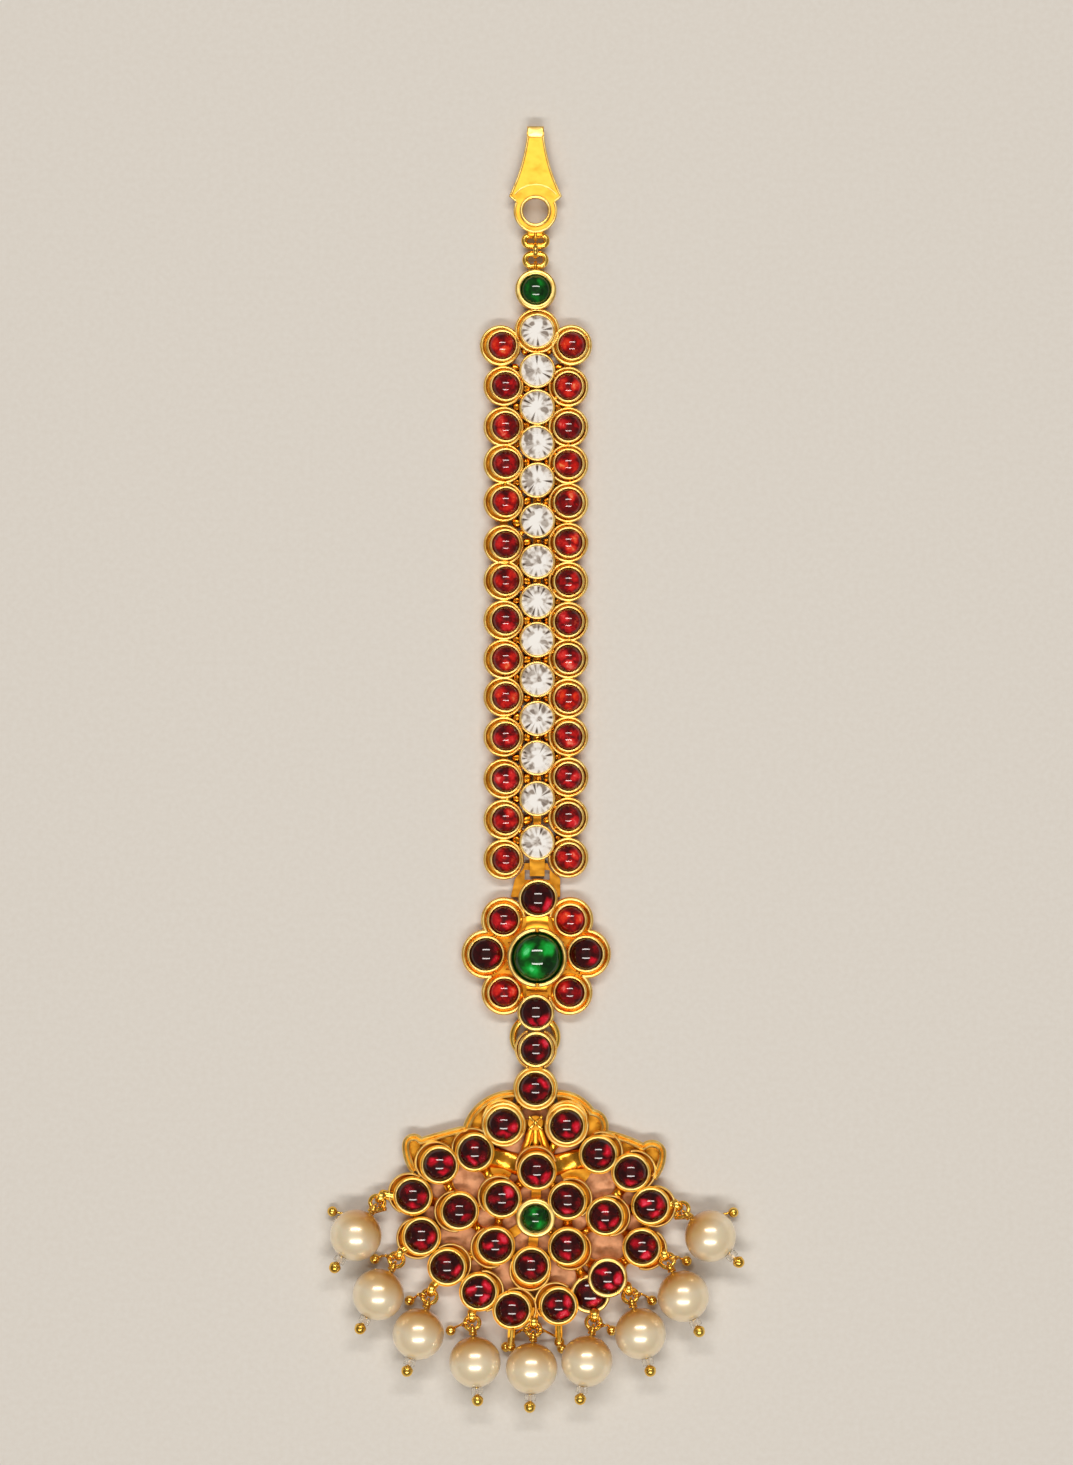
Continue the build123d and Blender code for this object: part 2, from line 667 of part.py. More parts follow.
PLACES = {**OUTER_STONES, **INNER_STONES}
PLACES["green"] = FAN_GREEN
PLACES["sunk"] = SUNK_STONE
PLACES["high"] = HIGH_STONE
BACK_OUTLINE = [name for name in OUTER_STONES if name.startswith(("top", "left"))]
BACK_OUTLINE += ["right h", "sunk", "high", "right e", "right d", "right c", "right b", "right a"]
FLAT_CUPS = list(OUTER_STONES.values()) + list(INNER_STONES.values())
WIDE_CUPS = [OUTER_STONES["top"], OUTER_STONES["left a"], OUTER_STONES["right a"]]
WIDE_CUP_R = 2.6
WIDE_CUP_TOP = 1.9
BOSS = (0.0, -41.3)  # a small soldered boss under the top stone, with two struts below it
BOSS_R = 0.85
BOSS_TOP = 1.9
STRUT_FEET = ((-1.5, -46.0), (1.6, -46.0))
STRUT_WIDTH = 0.5
STRUT_TOP = 1.2
BACK_SHEET = 0.3  # thin sheet that closes the fan's back between the cups
SHEETS = ((-4.3, -46.9), (4.4, -47.0))  # raised gold sheet in two gaps between the rows
SHEET_R = 1.5
LINK_STEM_WIDTH = 1.6
HIGH_PLATE = 0.3  # floor of the high cup
LUG_SOLDER = (LUG_Z - 0.6, LUG_Z + 0.3)  # bottom and top of the bar behind a lug
PIN_LOOP_Z = PEARL_R - PIN_EYE_AT * sin(radians(PIN_TILT))
RING_REACH = sqrt(DROP_RING_LENGTH**2 - (PIN_LOOP_Z - LUG_Z) ** 2)
LUG_REACH = PIN_EYE_AT * cos(radians(PIN_TILT)) + RING_REACH


def drop_places(drop):
    """A drop's pearl, its lug's middle, and the unit vectors from pearl to lug and across."""
    pearl = Vector(drop[0], drop[1], PEARL_R)
    towards = Vector(drop[2] - drop[0], drop[3] - drop[1], 0).normalized()
    lug = Vector(drop[0], drop[1], LUG_Z) + towards * LUG_REACH
    across = Vector(-towards.Y, towards.X, 0)
    return pearl, lug, towards, across


def half_plate(edge, stones):
    """Adds one side of the fan's upper plate, from its curved edge to the line of its stones."""
    with BuildSketch() as plate:
        with BuildLine():
            for start, through, end in edge:
                ThreePointArc(start, through, end)
            Polyline(edge[-1][2], *stones, edge[0][0])
        make_face()
    extrude(plate.sketch, amount=PLATE)
    with BuildSketch(Plane.XY.offset(PLATE)) as rim:
        with BuildLine() as line:
            for start, through, end in edge:
                ThreePointArc(start, through, end)
        trace(line.line, line_width=FAN_RIM)
    extrude(rim.sketch, amount=FAN_RIM_TOP - PLATE)


with BuildPart() as fan_frame:
    discs(FLAT_CUPS + [FAN_GREEN], FAN_CUP_R, 0, FAN_CUP_TOP)
    with BuildSketch() as back:
        with BuildLine():
            Polyline(*(PLACES[name] for name in BACK_OUTLINE), close=True)
        make_face()
    extrude(back.sketch, amount=BACK_SHEET)
    half_plate(LEFT_EDGE, [OUTER_STONES[f"left {name}"] for name in "cba"])
    half_plate(RIGHT_EDGE, [OUTER_STONES[f"right {name}"] for name in "cba"])
    discs(WIDE_CUPS, WIDE_CUP_R, 0, WIDE_CUP_TOP)
    for first, second in BRIDGES:
        bar(PLACES[first], PLACES[second], FAN_BRIDGE, 0, FAN_BRIDGE_TOP)
    discs(SHEETS, SHEET_R, 0, FAN_BRIDGE_TOP)
    discs([BOSS], BOSS_R, 0, BOSS_TOP)
    for foot in STRUT_FEET:
        bar(BOSS, foot, STRUT_WIDTH, 0, STRUT_TOP)
    discs([SUNK_STONE], FAN_CUP_R, 0, SUNK_TOP)
    discs([HIGH_STONE], FAN_CUP_R, 0, HIGH_TOP)
    discs([LINK], LINK_R + FIT + RAISED_WALL, RAISED_FLOOR, RAISED_TOP)
    bar(LINK, OUTER_STONES["top"], LINK_STEM_WIDTH, RAISED_FLOOR, FAN_CUP_TOP)
    edge_on_eye((LINK[0], WIDE_RING_BOTTOM_Y, WIDE_RING_Z), BACK_EYE_R, BACK_EYE_WIRE)
    for drop in DROPS:
        pearl, lug, towards, across = drop_places(drop)
        bar((drop[4], drop[5]), (lug.X, lug.Y), LUG_WIDTH, *LUG_SOLDER)
        with Locations(Plane(origin=lug, x_dir=towards, z_dir=across)):
            Cylinder(LUG_R, LUG_WIDTH)
            Cylinder(LUG_HOLE_R, 4 * LUG_WIDTH, mode=Mode.SUBTRACT)
    for post in POSTS:
        bar(post[:2], post[2:], LUG_WIDTH, *LUG_SOLDER)
    discs(FLAT_CUPS, RUBY_R + FIT, PLATE, OVER_ALL, mode=Mode.SUBTRACT)
    discs([FAN_GREEN], FAN_GREEN_R + FIT, PLATE, OVER_ALL, mode=Mode.SUBTRACT)
    discs([SUNK_STONE], RUBY_R + FIT, PLATE / 2, HIGH_FLOOR, mode=Mode.SUBTRACT)
    discs([HIGH_STONE], RUBY_R + FIT, HIGH_FLOOR + HIGH_PLATE, OVER_ALL, mode=Mode.SUBTRACT)
    discs([LINK], LINK_R + FIT, RAISED_FLOOR + RAISED_PLATE, OVER_ALL, mode=Mode.SUBTRACT)
write("fan_frame", fan_frame)

FAN_RUBY = cabochon(RUBY_R, STONE_SEAT, girdle=2.05, top=FAN_DOME_TOP)
SUNK_RUBY = cabochon(RUBY_R, PLATE / 2 + FIT, girdle=0.95, top=HIGH_FLOOR - FIT)
HIGH_RUBY = cabochon(RUBY_R, HIGH_FLOOR + HIGH_PLATE + FIT, girdle=2.95, top=4.25)
FAN_GREEN_STONE = cabochon(FAN_GREEN_R, STONE_SEAT, girdle=2.25, top=3.7)
LINK_RUBY = cabochon(LINK_R, RAISED_SEAT, girdle=2.85, top=4.0)

with BuildPart() as fan_rubies_outer:
    with Locations(*OUTER_STONES.values()):
        add(FAN_RUBY)
write("fan_rubies_outer", fan_rubies_outer)

with BuildPart() as fan_rubies_inner:
    with Locations(*INNER_STONES.values()):
        add(FAN_RUBY)
write("fan_rubies_inner", fan_rubies_inner)

with BuildPart() as fan_ruby_sunk:
    with Locations(SUNK_STONE):
        add(SUNK_RUBY)
write("fan_ruby_sunk", fan_ruby_sunk)

with BuildPart() as fan_ruby_high:
    with Locations(HIGH_STONE):
        add(HIGH_RUBY)
write("fan_ruby_high", fan_ruby_high)

with BuildPart() as fan_green_stone:
    with Locations(FAN_GREEN):
        add(FAN_GREEN_STONE)
write("fan_green_stone", fan_green_stone)

with BuildPart() as link_ruby:
    with Locations(LINK):
        add(LINK_RUBY)
write("link_ruby", link_ruby)

# ---------------------------------------------------------------- pearl drops

# Each pearl is threaded on a pin with a ball at its outer end and a loop at its inner end. An
# oval ring joins the loop to the fan's lug, and a short clear tube lies between pearl and ball.
SPACER_START = PEARL_R + FIT
PIN_BALL_AT = SPACER_START + SPACER_LENGTH + FIT + PIN_BALL_R
PIN_END = PEARL_R + 0.25  # where a pin's straight wire runs into its loop


def pin_plane(drop):
    """The plane at a pearl's middle whose Z runs along its pin, towards the fan."""
    pearl, lug, towards, across = drop_places(drop)
    tilt = radians(PIN_TILT)
    axis = towards * cos(tilt) - Vector(0, 0, 1) * sin(tilt)
    return Plane(origin=pearl, x_dir=across, z_dir=axis)


def ring_plane(drop):
    """The plane of a drop's ring: origin at the lug, Y towards the pin's loop, X across."""
    pearl, lug, towards, across = drop_places(drop)
    loop = pin_plane(drop).from_local_coords(Vector(0, 0, PIN_EYE_AT))
    along = (loop - lug).normalized()
    return Plane(origin=lug, x_dir=across, z_dir=across.cross(along))


DROP_RING = oval_ring(DROP_RING_R, DROP_RING_LENGTH - 2 * DROP_RING_R, DROP_RING_WIRE)

for number, drop in enumerate(DROPS, start=1):
    with BuildPart(pin_plane(drop)) as pearl:
        Sphere(PEARL_R)
        Cylinder(PEARL_BORE_R, 4 * PEARL_R, mode=Mode.SUBTRACT)
    write(f"pearl_{number}", pearl)

    with BuildPart(pin_plane(drop)) as pearl_pin:
        with Locations((0, 0, -PIN_BALL_AT)):
            Sphere(PIN_BALL_R)
        with Locations((0, 0, (PIN_END - PIN_BALL_AT) / 2)):
            Cylinder(PIN_WIRE, PIN_END + PIN_BALL_AT)
        with Locations((0, 0, PIN_EYE_AT)):
            Torus(PIN_EYE_R, PIN_EYE_WIRE, rotation=(0, 90, 0))
    write(f"pearl_pin_{number}", pearl_pin)

    with BuildPart(pin_plane(drop)) as spacer_tube:
        with Locations((0, 0, -SPACER_START - SPACER_LENGTH / 2)):
            Cylinder(SPACER_R, SPACER_LENGTH)
            Cylinder(PEARL_BORE_R, SPACER_LENGTH, mode=Mode.SUBTRACT)
    write(f"spacer_tube_{number}", spacer_tube)

    with BuildPart(ring_plane(drop)) as pearl_ring:
        with Locations((0, DROP_RING_LENGTH / 2, 0)):
            add(DROP_RING)
    write(f"pearl_ring_{number}", pearl_ring)

# ---------------------------------------------------------------- gold balls behind the pearls


def ball_drop(number, side, bend_x, bend_y, ball_x, ball_y):
    """Adds one gold ball on a fine wire, whose eye holds the side of a drop's ring."""
    plane = ring_plane(DROPS[number - 1])
    eye = plane.from_local_coords(Vector(side * DROP_RING_R, BALL_EYE_AT, 0))
    start = plane.from_local_coords(Vector(side * BALL_WIRE_START, BALL_EYE_AT, 0))
    bend = (bend_x, bend_y, BALL_Z / 2)
    with BuildLine() as route:
        FilletPolyline(start, bend, (ball_x, ball_y, BALL_Z), radius=BALL_WIRE_BEND)
    with BuildSketch(Plane(origin=start, z_dir=route.line @ 0.01 - start)) as section:
        Circle(BALL_WIRE)
    sweep(section.sketch, path=route.line)
    with Locations(Plane(origin=eye, z_dir=plane.y_dir)):
        Torus(BALL_EYE_R, BALL_EYE_WIRE)
    with Locations((ball_x, ball_y, BALL_Z)):
        Sphere(BALL_R)


with BuildPart() as ball_drops_left:
    for row in BALLS_LEFT:
        ball_drop(*row)
write("ball_drops_left", ball_drops_left)

with BuildPart() as ball_drops_right:
    for row in BALLS_RIGHT:
        ball_drop(*row)
write("ball_drops_right", ball_drops_right)
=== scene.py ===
# %% [markdown]
# # A maang tikka: gold-plated metal, red, green and clear glass, and cream pearls
# A maang tikka is worn on the parting of the hair. A bent hook holds it in the hair, and below
# it hang a band of cups in three rows, a flower, and a fan edged with nine pearls. The metal
# maker's model comes first, as a fixed frame: it says where each cup, stone and pearl is. This
# script only adds what the eye enjoys, the rounded wire, the domed glass, the lustre and the
# light, and hides each plain stone behind a finer one.

# %% Load the frame
import math
import random
from collections import namedtuple

import bpy
import numpy as np
from mathutils import Matrix, Vector


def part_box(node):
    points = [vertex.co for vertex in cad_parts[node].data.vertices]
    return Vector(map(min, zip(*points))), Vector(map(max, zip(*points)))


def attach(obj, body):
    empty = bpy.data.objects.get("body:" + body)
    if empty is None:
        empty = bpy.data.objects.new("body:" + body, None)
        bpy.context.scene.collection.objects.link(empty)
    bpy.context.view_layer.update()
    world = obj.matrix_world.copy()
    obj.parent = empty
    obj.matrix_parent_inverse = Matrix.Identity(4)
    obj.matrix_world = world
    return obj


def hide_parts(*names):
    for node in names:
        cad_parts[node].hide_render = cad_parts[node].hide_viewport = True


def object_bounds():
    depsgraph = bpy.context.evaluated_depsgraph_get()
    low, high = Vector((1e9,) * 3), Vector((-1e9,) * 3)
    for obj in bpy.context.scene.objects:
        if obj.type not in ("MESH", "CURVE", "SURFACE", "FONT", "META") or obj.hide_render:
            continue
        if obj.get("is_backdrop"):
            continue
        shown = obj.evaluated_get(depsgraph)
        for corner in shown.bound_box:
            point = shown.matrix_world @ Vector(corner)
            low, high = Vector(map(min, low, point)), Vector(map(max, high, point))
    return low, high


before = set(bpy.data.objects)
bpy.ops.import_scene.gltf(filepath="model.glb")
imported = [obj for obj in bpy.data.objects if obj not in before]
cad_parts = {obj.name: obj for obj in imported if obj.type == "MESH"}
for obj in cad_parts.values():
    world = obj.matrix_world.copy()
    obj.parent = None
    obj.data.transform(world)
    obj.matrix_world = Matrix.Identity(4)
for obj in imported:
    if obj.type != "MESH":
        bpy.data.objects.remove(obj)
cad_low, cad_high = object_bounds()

MM = 0.001
print("the frame is", [round(side / MM, 1) for side in cad_high - cad_low], "mm")

# %% [markdown]
# ## The camera
# The jewel lies flat and is seen from straight above. A long lens from 0.75 m away keeps the
# round cups round right out to the pearls. Its sensor width is the long side of the picture,
# so the lens follows from how much of the floor that side should take in.

# %% Camera
VIEW_LENGTH = 170.7 * MM
VIEW_MIDDLE = Vector((0.12, 4.2, 2.0)) * MM
CAMERA_HEIGHT = 0.75

camera = bpy.data.objects.new("camera", bpy.data.cameras.new("camera"))
bpy.context.collection.objects.link(camera)
camera.location = VIEW_MIDDLE + Vector((0, 0, CAMERA_HEIGHT))
camera.data.sensor_width = 36.0
camera.data.lens = camera.data.sensor_width * CAMERA_HEIGHT / VIEW_LENGTH
camera.data.clip_start = 0.01
bpy.context.scene.camera = camera
bpy.context.scene.view_settings.view_transform = "Standard"
print("lens", round(camera.data.lens, 1), "mm")

# %% [markdown]
# ## Two helpers for every material
# A colour is picked as it looks on a screen, so one function turns that hex value into the
# linear numbers that light is worked out in. A second one adds a shader node, sets its
# properties, and fills its sockets with values or with links from other nodes. With these two,
# a material reads from top to bottom like a recipe.


# %% Colour and node helpers
def linear(colour):
    """Turns #RRGGBB as seen on a screen into linear red, green, blue and 1."""
    parts = [int(colour[i : i + 2], 16) / 255 for i in (1, 3, 5)]
    return [c / 12.92 if c <= 0.04045 else ((c + 0.055) / 1.055) ** 2.4 for c in parts] + [1.0]


def node(tree, kind, sockets, stops=(), **settings):
    """Adds a shader node with its settings, its (position, hex colour) stops and its sockets.

    A socket is linked if it is given a node, which means its first output, or one output.
    """
    made = tree.nodes.new("ShaderNode" + kind)
    for name, value in settings.items():
        setattr(made, name, value)
    for name, value in sockets.items():
        if isinstance(value, bpy.types.Node):
            value = value.outputs[0]
        if isinstance(value, bpy.types.NodeSocket):
            tree.links.new(value, made.inputs[name])
        else:
            made.inputs[name].default_value = value
    if stops:
        bar = made.color_ramp.elements
        while len(bar) < len(stops):
            bar.new(0.5)
        for element, (position, colour) in zip(bar, stops):
            element.position = position
            element.color = linear(colour)
    return made


def new_material(name):
    """An empty material, and the tree to build it in."""
    material = bpy.data.materials.new(name)
    material.use_nodes = True
    material.node_tree.nodes.clear()
    return material, material.node_tree


print("mid grey is", round(linear("#808080")[0], 3), "in linear light")

# %% [markdown]
# ## The floor
# The jewel lies on a wide sheet of pale paper. It could be one flat colour, but paper has a
# faint cloud of fibres, so a fine noise moves its tone between two close colours.

# %% Floor
FLOOR_SIZE = 4.0
BEDDING = 0.02 * MM  # the floor lies this far under the part, so no faces share a plane
PAPER_FIBRE = 0.6 * MM

reach = FLOOR_SIZE / 2
corners = [(-reach, -reach, 0), (reach, -reach, 0), (reach, reach, 0), (-reach, reach, 0)]
floor_mesh = bpy.data.meshes.new("floor")
floor_mesh.from_pydata(corners, [], [(0, 1, 2, 3)])
floor = bpy.data.objects.new("floor", floor_mesh)
bpy.context.collection.objects.link(floor)
floor.location.z = cad_low.z - BEDDING
floor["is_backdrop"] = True

material, tree = new_material("pale_paper_sheet")
place = node(tree, "NewGeometry", {})
fibres = node(tree, "TexNoise", {"Vector": place, "Scale": 1 / PAPER_FIBRE, "Detail": 4.0})
tone = node(tree, "ValToRGB", {"Fac": fibres}, [(0.3, "#DAD5CE"), (0.7, "#DEDAD4")])
paper = node(tree, "BsdfPrincipled", {"Base Color": tone, "Roughness": 0.75})
node(tree, "OutputMaterial", {"Surface": paper})
floor_mesh.materials.append(material)
print("the floor is", FLOOR_SIZE, "m wide, at", round(floor.location.z / MM, 2), "mm")

# %% [markdown]
# ## The lamps
# Two long soft boxes hang side by side above the jewel, and each domed stone answers with two
# short dashes, one over the other. One round lamp would be simpler, but it would leave a
# single dot on every stone and no line along the wires.

# %% Lamps
BOX_DISTANCE = 0.62
BOX_TILT = math.radians(28)
BOX_LENGTH = 0.50
BOX_DEPTH = 0.07
BOX_POWER = 1.82

for side in (-1, 1):
    light = bpy.data.lights.new(f"soft_box_{side}", "AREA")
    light.shape = "RECTANGLE"
    light.size = BOX_LENGTH
    light.size_y = BOX_DEPTH
    light.energy = BOX_POWER
    light.color = linear("#FFFBF5")[:3]
    lamp = bpy.data.objects.new(f"soft_box_{side}", light)
    bpy.context.collection.objects.link(lamp)
    lamp.location = Vector((0, side * math.sin(BOX_TILT), math.cos(BOX_TILT))) * BOX_DISTANCE
    lamp.rotation_euler = (side * -BOX_TILT, 0, 0)
print("two soft boxes of", BOX_POWER, "W,", BOX_DISTANCE, "m away")

# %% [markdown]
# ## The surroundings
# Polished metal has no look of its own: it shows the room. Straight up, between the lamps, is
# an even glow, which flat gold gives back as a clean yellow. A darker belt of the room lies
# between that glow and the horizon, and it draws the dark lines along every rounded wire. One
# bright dome would be simpler, but the gold would look like wax.

# %% Surroundings
ROOM = [(0.0, "#78736E"), (0.8, "#6C6762"), (0.93, "#9A958D")]  # from the horizon up

world = bpy.data.worlds.new("room")
bpy.context.scene.world = world
world.use_nodes = True
tree = world.node_tree
tree.nodes.clear()
toward = node(tree, "TexCoord", {})
height = node(tree, "SeparateXYZ", {"Vector": toward}).outputs["Z"]
glow = node(tree, "ValToRGB", {"Fac": height}, ROOM)
sky = node(tree, "Background", {"Color": glow, "Strength": 1.0})
node(tree, "OutputWorld", {"Surface": sky})
print("the room glows in", len(ROOM), "stops")

# %% [markdown]
# ## Shapes made in code
# Every new part of the jewel is either turned about an axis, like a lip round a stone, or an
# oval section run along a line, like a rim of wire. So one small class gathers rings of points
# and skins them, and two functions feed it. Many small parts of one kind become one mesh, which
# keeps the scene light. A little unevenness, always from a seeded draw, takes away the look of
# a machine, because these cups are bent and soldered by hand.


# %% Gather points and skin them
class Shape:
    """Points and faces in millimetres, with where each point is on its own stone."""

    def __init__(self):
        self.points = []
        self.faces = []
        self.on_stone = []
        self.lot = []

    def skin(self, rings, closed=False):
        """Joins each ring of points to the next; a ring of one point closes an end."""
        starts = []
        for ring in rings:
            starts.append(len(self.points))
            self.points.extend(ring)
        steps = list(range(len(rings) - 1)) + ([len(rings) - 1] if closed else [])
        for step in steps:
            after = (step + 1) % len(rings)
            a, b = starts[step], starts[after]
            count_a, count_b = len(rings[step]), len(rings[after])
            for i in range(max(count_a, count_b)):
                j = (i + 1) % max(count_a, count_b)
                if count_a == 1:
                    self.faces.append((a, b + j, b + i))
                elif count_b == 1:
                    self.faces.append((a + i, a + j, b))
                else:
                    self.faces.append((a + i, a + j, b + j, b + i))

    def mark(self, start, middle, radius, lot, turn=None):
        """Notes, for the points since start, where they are on a stone of this radius."""
        back = turn.inverted() if turn else Matrix.Identity(3)
        for point in self.points[start:]:
            self.on_stone.append(back @ (point - middle) / radius)
            self.lot.append(lot)


def piece(shape, name, material, replaced=(), sharp=40):
    """Makes the object, in metres, hangs it under the root and hides the frame's parts it replaces.
    """
    mesh = bpy.data.meshes.new(name)
    mesh.from_pydata([point * MM for point in shape.points], [], shape.faces)
    mesh.validate()
    if shape.on_stone:
        spots = mesh.attributes.new("on_stone", "FLOAT_VECTOR", "POINT")
        spots.data.foreach_set("vector", np.array(shape.on_stone, dtype=float).ravel())
        lots = mesh.attributes.new("lot", "FLOAT", "POINT")
        lots.data.foreach_set("value", shape.lot)
    mesh.shade_smooth()
    mesh.set_sharp_from_angle(angle=math.radians(sharp))
    mesh.materials.append(material)
    made = bpy.data.objects.new(name, mesh)
    bpy.context.collection.objects.link(made)
    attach(made, "root")
    if replaced:
        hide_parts(*replaced)
    triangles = sum(len(face.vertices) - 2 for face in mesh.polygons)
    print(name, triangles, "triangles")


# %% [markdown]
# ## Turning
# A lip, a dome, a pearl and a ball are all turned work, as on a lathe: a profile of radii and
# heights goes round an axis. The modifier for this turns one outline in one object, while the
# jewel needs hundreds of turned forms in a few meshes, so a function makes the rings of points.


# %% Turn a profile about an axis
def round_angles(count):
    """Evenly spaced angles of one whole turn, in radians."""
    return [math.tau * k / count for k in range(count)]


def revolve(shape, profile, place, segments, turn=None, closed=False, uneven=0.0, phase=0.0):
    """Turns (radius, height) points about an axis through place; closed joins last to first."""
    turn = turn or Matrix.Identity(3)
    rings = []
    for radius, height in profile:
        ring = []
        for angle in round_angles(segments) if radius else [0.0]:
            reach = radius * (1 + uneven * math.sin(2 * angle + phase))
            local = Vector((reach * math.cos(angle), reach * math.sin(angle), height))
            ring.append(place + turn @ local)
        rings.append(ring)
    shape.skin(rings, closed)


print("a turn in 8 steps is at", [round(math.degrees(angle)) for angle in round_angles(8)])

# %% [markdown]
# ## Wire
# Wire has an oval section that runs along a line without twisting. A curve with a bevel could
# do it, but its ends are cut flat, while the maker's file has rounded the ends of these wires,
# and many small wires are to go into one mesh with the rest. So a function sets an oval of
# points across the line at each of its points, and turns it no more than the line bends.

# %% Run an oval section along a line
ROUND_END = (0.17, 0.5, 0.87, 0.98)  # sines on the way out to a rounded tip
ARC_STEP = 0.16  # millimetres between the points of an arc


def oval(middle, side, half_side, up, half_up, count):
    """A ring of points on an oval, from the directions and lengths of its two half axes."""
    ring = []
    for angle in round_angles(count):
        across = side * (half_side * math.cos(angle))
        ring.append(middle + across + up * (half_up * math.sin(angle)))
    return ring


def directions(path, closed):
    """The direction of a path at each of its points."""
    count = len(path)
    found = []
    for i in range(count):
        before = path[i - 1] if closed or i > 0 else path[i]
        after = path[(i + 1) % count] if closed or i < count - 1 else path[i]
        found.append((after - before).normalized())
    return found


def sweep(shape, path, half_width, half_height=None, closed=False, sides=12):
    """Runs an oval section along a path; an open path gets rounded tips."""
    half_height = half_height or half_width
    tangents = directions(path, closed)
    side = tangents[0].cross(Vector((0, 0, 1)))
    if side.length < 0.1:
        side = tangents[0].cross(Vector((1, 0, 0)))
    stations = []
    for point, tangent in zip(path, tangents):
        side = (side - tangent * side.dot(tangent)).normalized()
        stations.append((point, side.copy(), side.cross(tangent), 1.0))
    if not closed:
        first, last = stations[0], stations[-1]
        for sine in ROUND_END:
            share = math.sqrt(1 - sine * sine)
            start = path[0] - tangents[0] * half_width * sine
            end = path[-1] + tangents[-1] * half_width * sine
            stations = [(start, *first[1:3], share), *stations, (end, *last[1:3], share)]
    loops = []
    for point, side, up, share in stations:
        loops.append(oval(point, side, half_width * share, up, half_height * share, sides))
    if not closed:
        loops.insert(0, [path[0] - tangents[0] * half_width])
        loops.append([path[-1] + tangents[-1] * half_width])
    shape.skin(loops, closed)


def circle(x, y, z, radius, start=0.0, end=math.tau):
    """Points along a level arc, in millimetres; a whole turn leaves its last point out."""
    whole = abs(end - start - math.tau) < 1e-6
    count = max(6, math.ceil(abs(end - start) * radius / ARC_STEP))
    angles = [start + (end - start) * k / count for k in range(count + (0 if whole else 1))]
    return [Vector((x + radius * math.cos(a), y + radius * math.sin(a), z)) for a in angles]


print("a ring of 2 mm radius has", len(circle(0, 0, 0, 2.0)), "points")

# %% [markdown]
# ## Where the stones are
# The frame holds many stones in one mesh, so this finds the separate lumps of a node. Points
# that share a place count as one, and labels spread along the edges until they settle. Each
# lump gives the middle and radius that its finer stone, and the lip round it, are made from.


# %% Find the lumps of a node
def lumps(name):
    """The (lowest, highest) corners of each separate solid of a CAD node, in millimetres."""
    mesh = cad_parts[name].data
    places = np.empty(len(mesh.vertices) * 3)
    mesh.vertices.foreach_get("co", places)
    places = places.reshape(-1, 3) / MM
    edges = np.empty(len(mesh.edges) * 2, int)
    mesh.edges.foreach_get("vertices", edges)
    _, same = np.unique(np.round(places, 3), axis=0, return_inverse=True)
    same = same.ravel()
    first, second = same[edges.reshape(-1, 2)].T
    label = np.arange(same.max() + 1)
    settled = False
    while not settled:
        before = label.copy()
        low = np.minimum(label[first], label[second])
        np.minimum.at(label, first, low)
        np.minimum.at(label, second, low)
        label = label[label]
        settled = bool((label == before).all())
    found = []
    for value in np.unique(label):
        mine = places[label[same] == value]
        found.append((Vector(mine.min(0)), Vector(mine.max(0))))
    return found

# %% Stones of the frame
Stone = namedtuple("Stone", ("middle", "radius", "foot", "top"))


def stone_places(name):
    """The stones of a node, from the top of the jewel down."""
    found = []
    for low, high in lumps(name):
        found.append(Stone((low + high) / 2, (high.x - low.x) / 2, low.z, high.z))
    return sorted(found, key=lambda stone: (-round(stone.middle.y, 1), stone.middle.x))


def at_height(place, z=0.0):
    """The same place on plan, at height z."""
    return Vector((place.x, place.y, z))


RUBIES_LEFT = stone_places("band_rubies_left")
RUBIES_RIGHT = stone_places("band_rubies_right")
WHITES = stone_places("band_white_stones")
PETAL_STONES = stone_places("flower_rubies")
FAN_OUTER = stone_places("fan_rubies_outer")
FAN_INNER = stone_places("fan_rubies_inner")
BAND_GREEN = stone_places("band_green_stone")[0]
FLOWER_GREEN = stone_places("flower_green_stone")[0]
FAN_GREEN = stone_places("fan_green_stone")[0]
SUNK = stone_places("fan_ruby_sunk")[0]
HIGH = stone_places("fan_ruby_high")[0]
LINK = stone_places("link_ruby")[0]
FAN_ROWS = FAN_OUTER + FAN_INNER
print(len(RUBIES_LEFT + RUBIES_RIGHT), "band rubies,", len(WHITES), "white stones")
print(len(PETAL_STONES), "petal stones,", len(FAN_ROWS), "fan stones in rows")

# %% [markdown]
# ## Gold-plated metal
# The metal is brass or copper, cut, bent and soldered, and then plated with a thin coat of
# yellow gold. A plated coat keeps every small unevenness of the metal below: soft dents of
# about a millimetre from the hand, which also make it a little duller or brighter, and a fine
# grain from buffing. In the trenches between the cups the amber is painted shade: a finish
# that is given a recess shade colour takes it where the ambient occlusion node finds a place
# enclosed. One plain gold would make it all look cast.

# %% Gold-plated metal
HAND_DENT = 1.1 * MM
DENT_DEPTH = 0.12 * MM
BUFF_GRAIN = 0.16 * MM  # real buffing lines are finer; this is as fine as still shows
GRAIN_DEPTH = 0.02 * MM
RECESS_REACH = 0.9 * MM  # walls nearer than this enclose a place


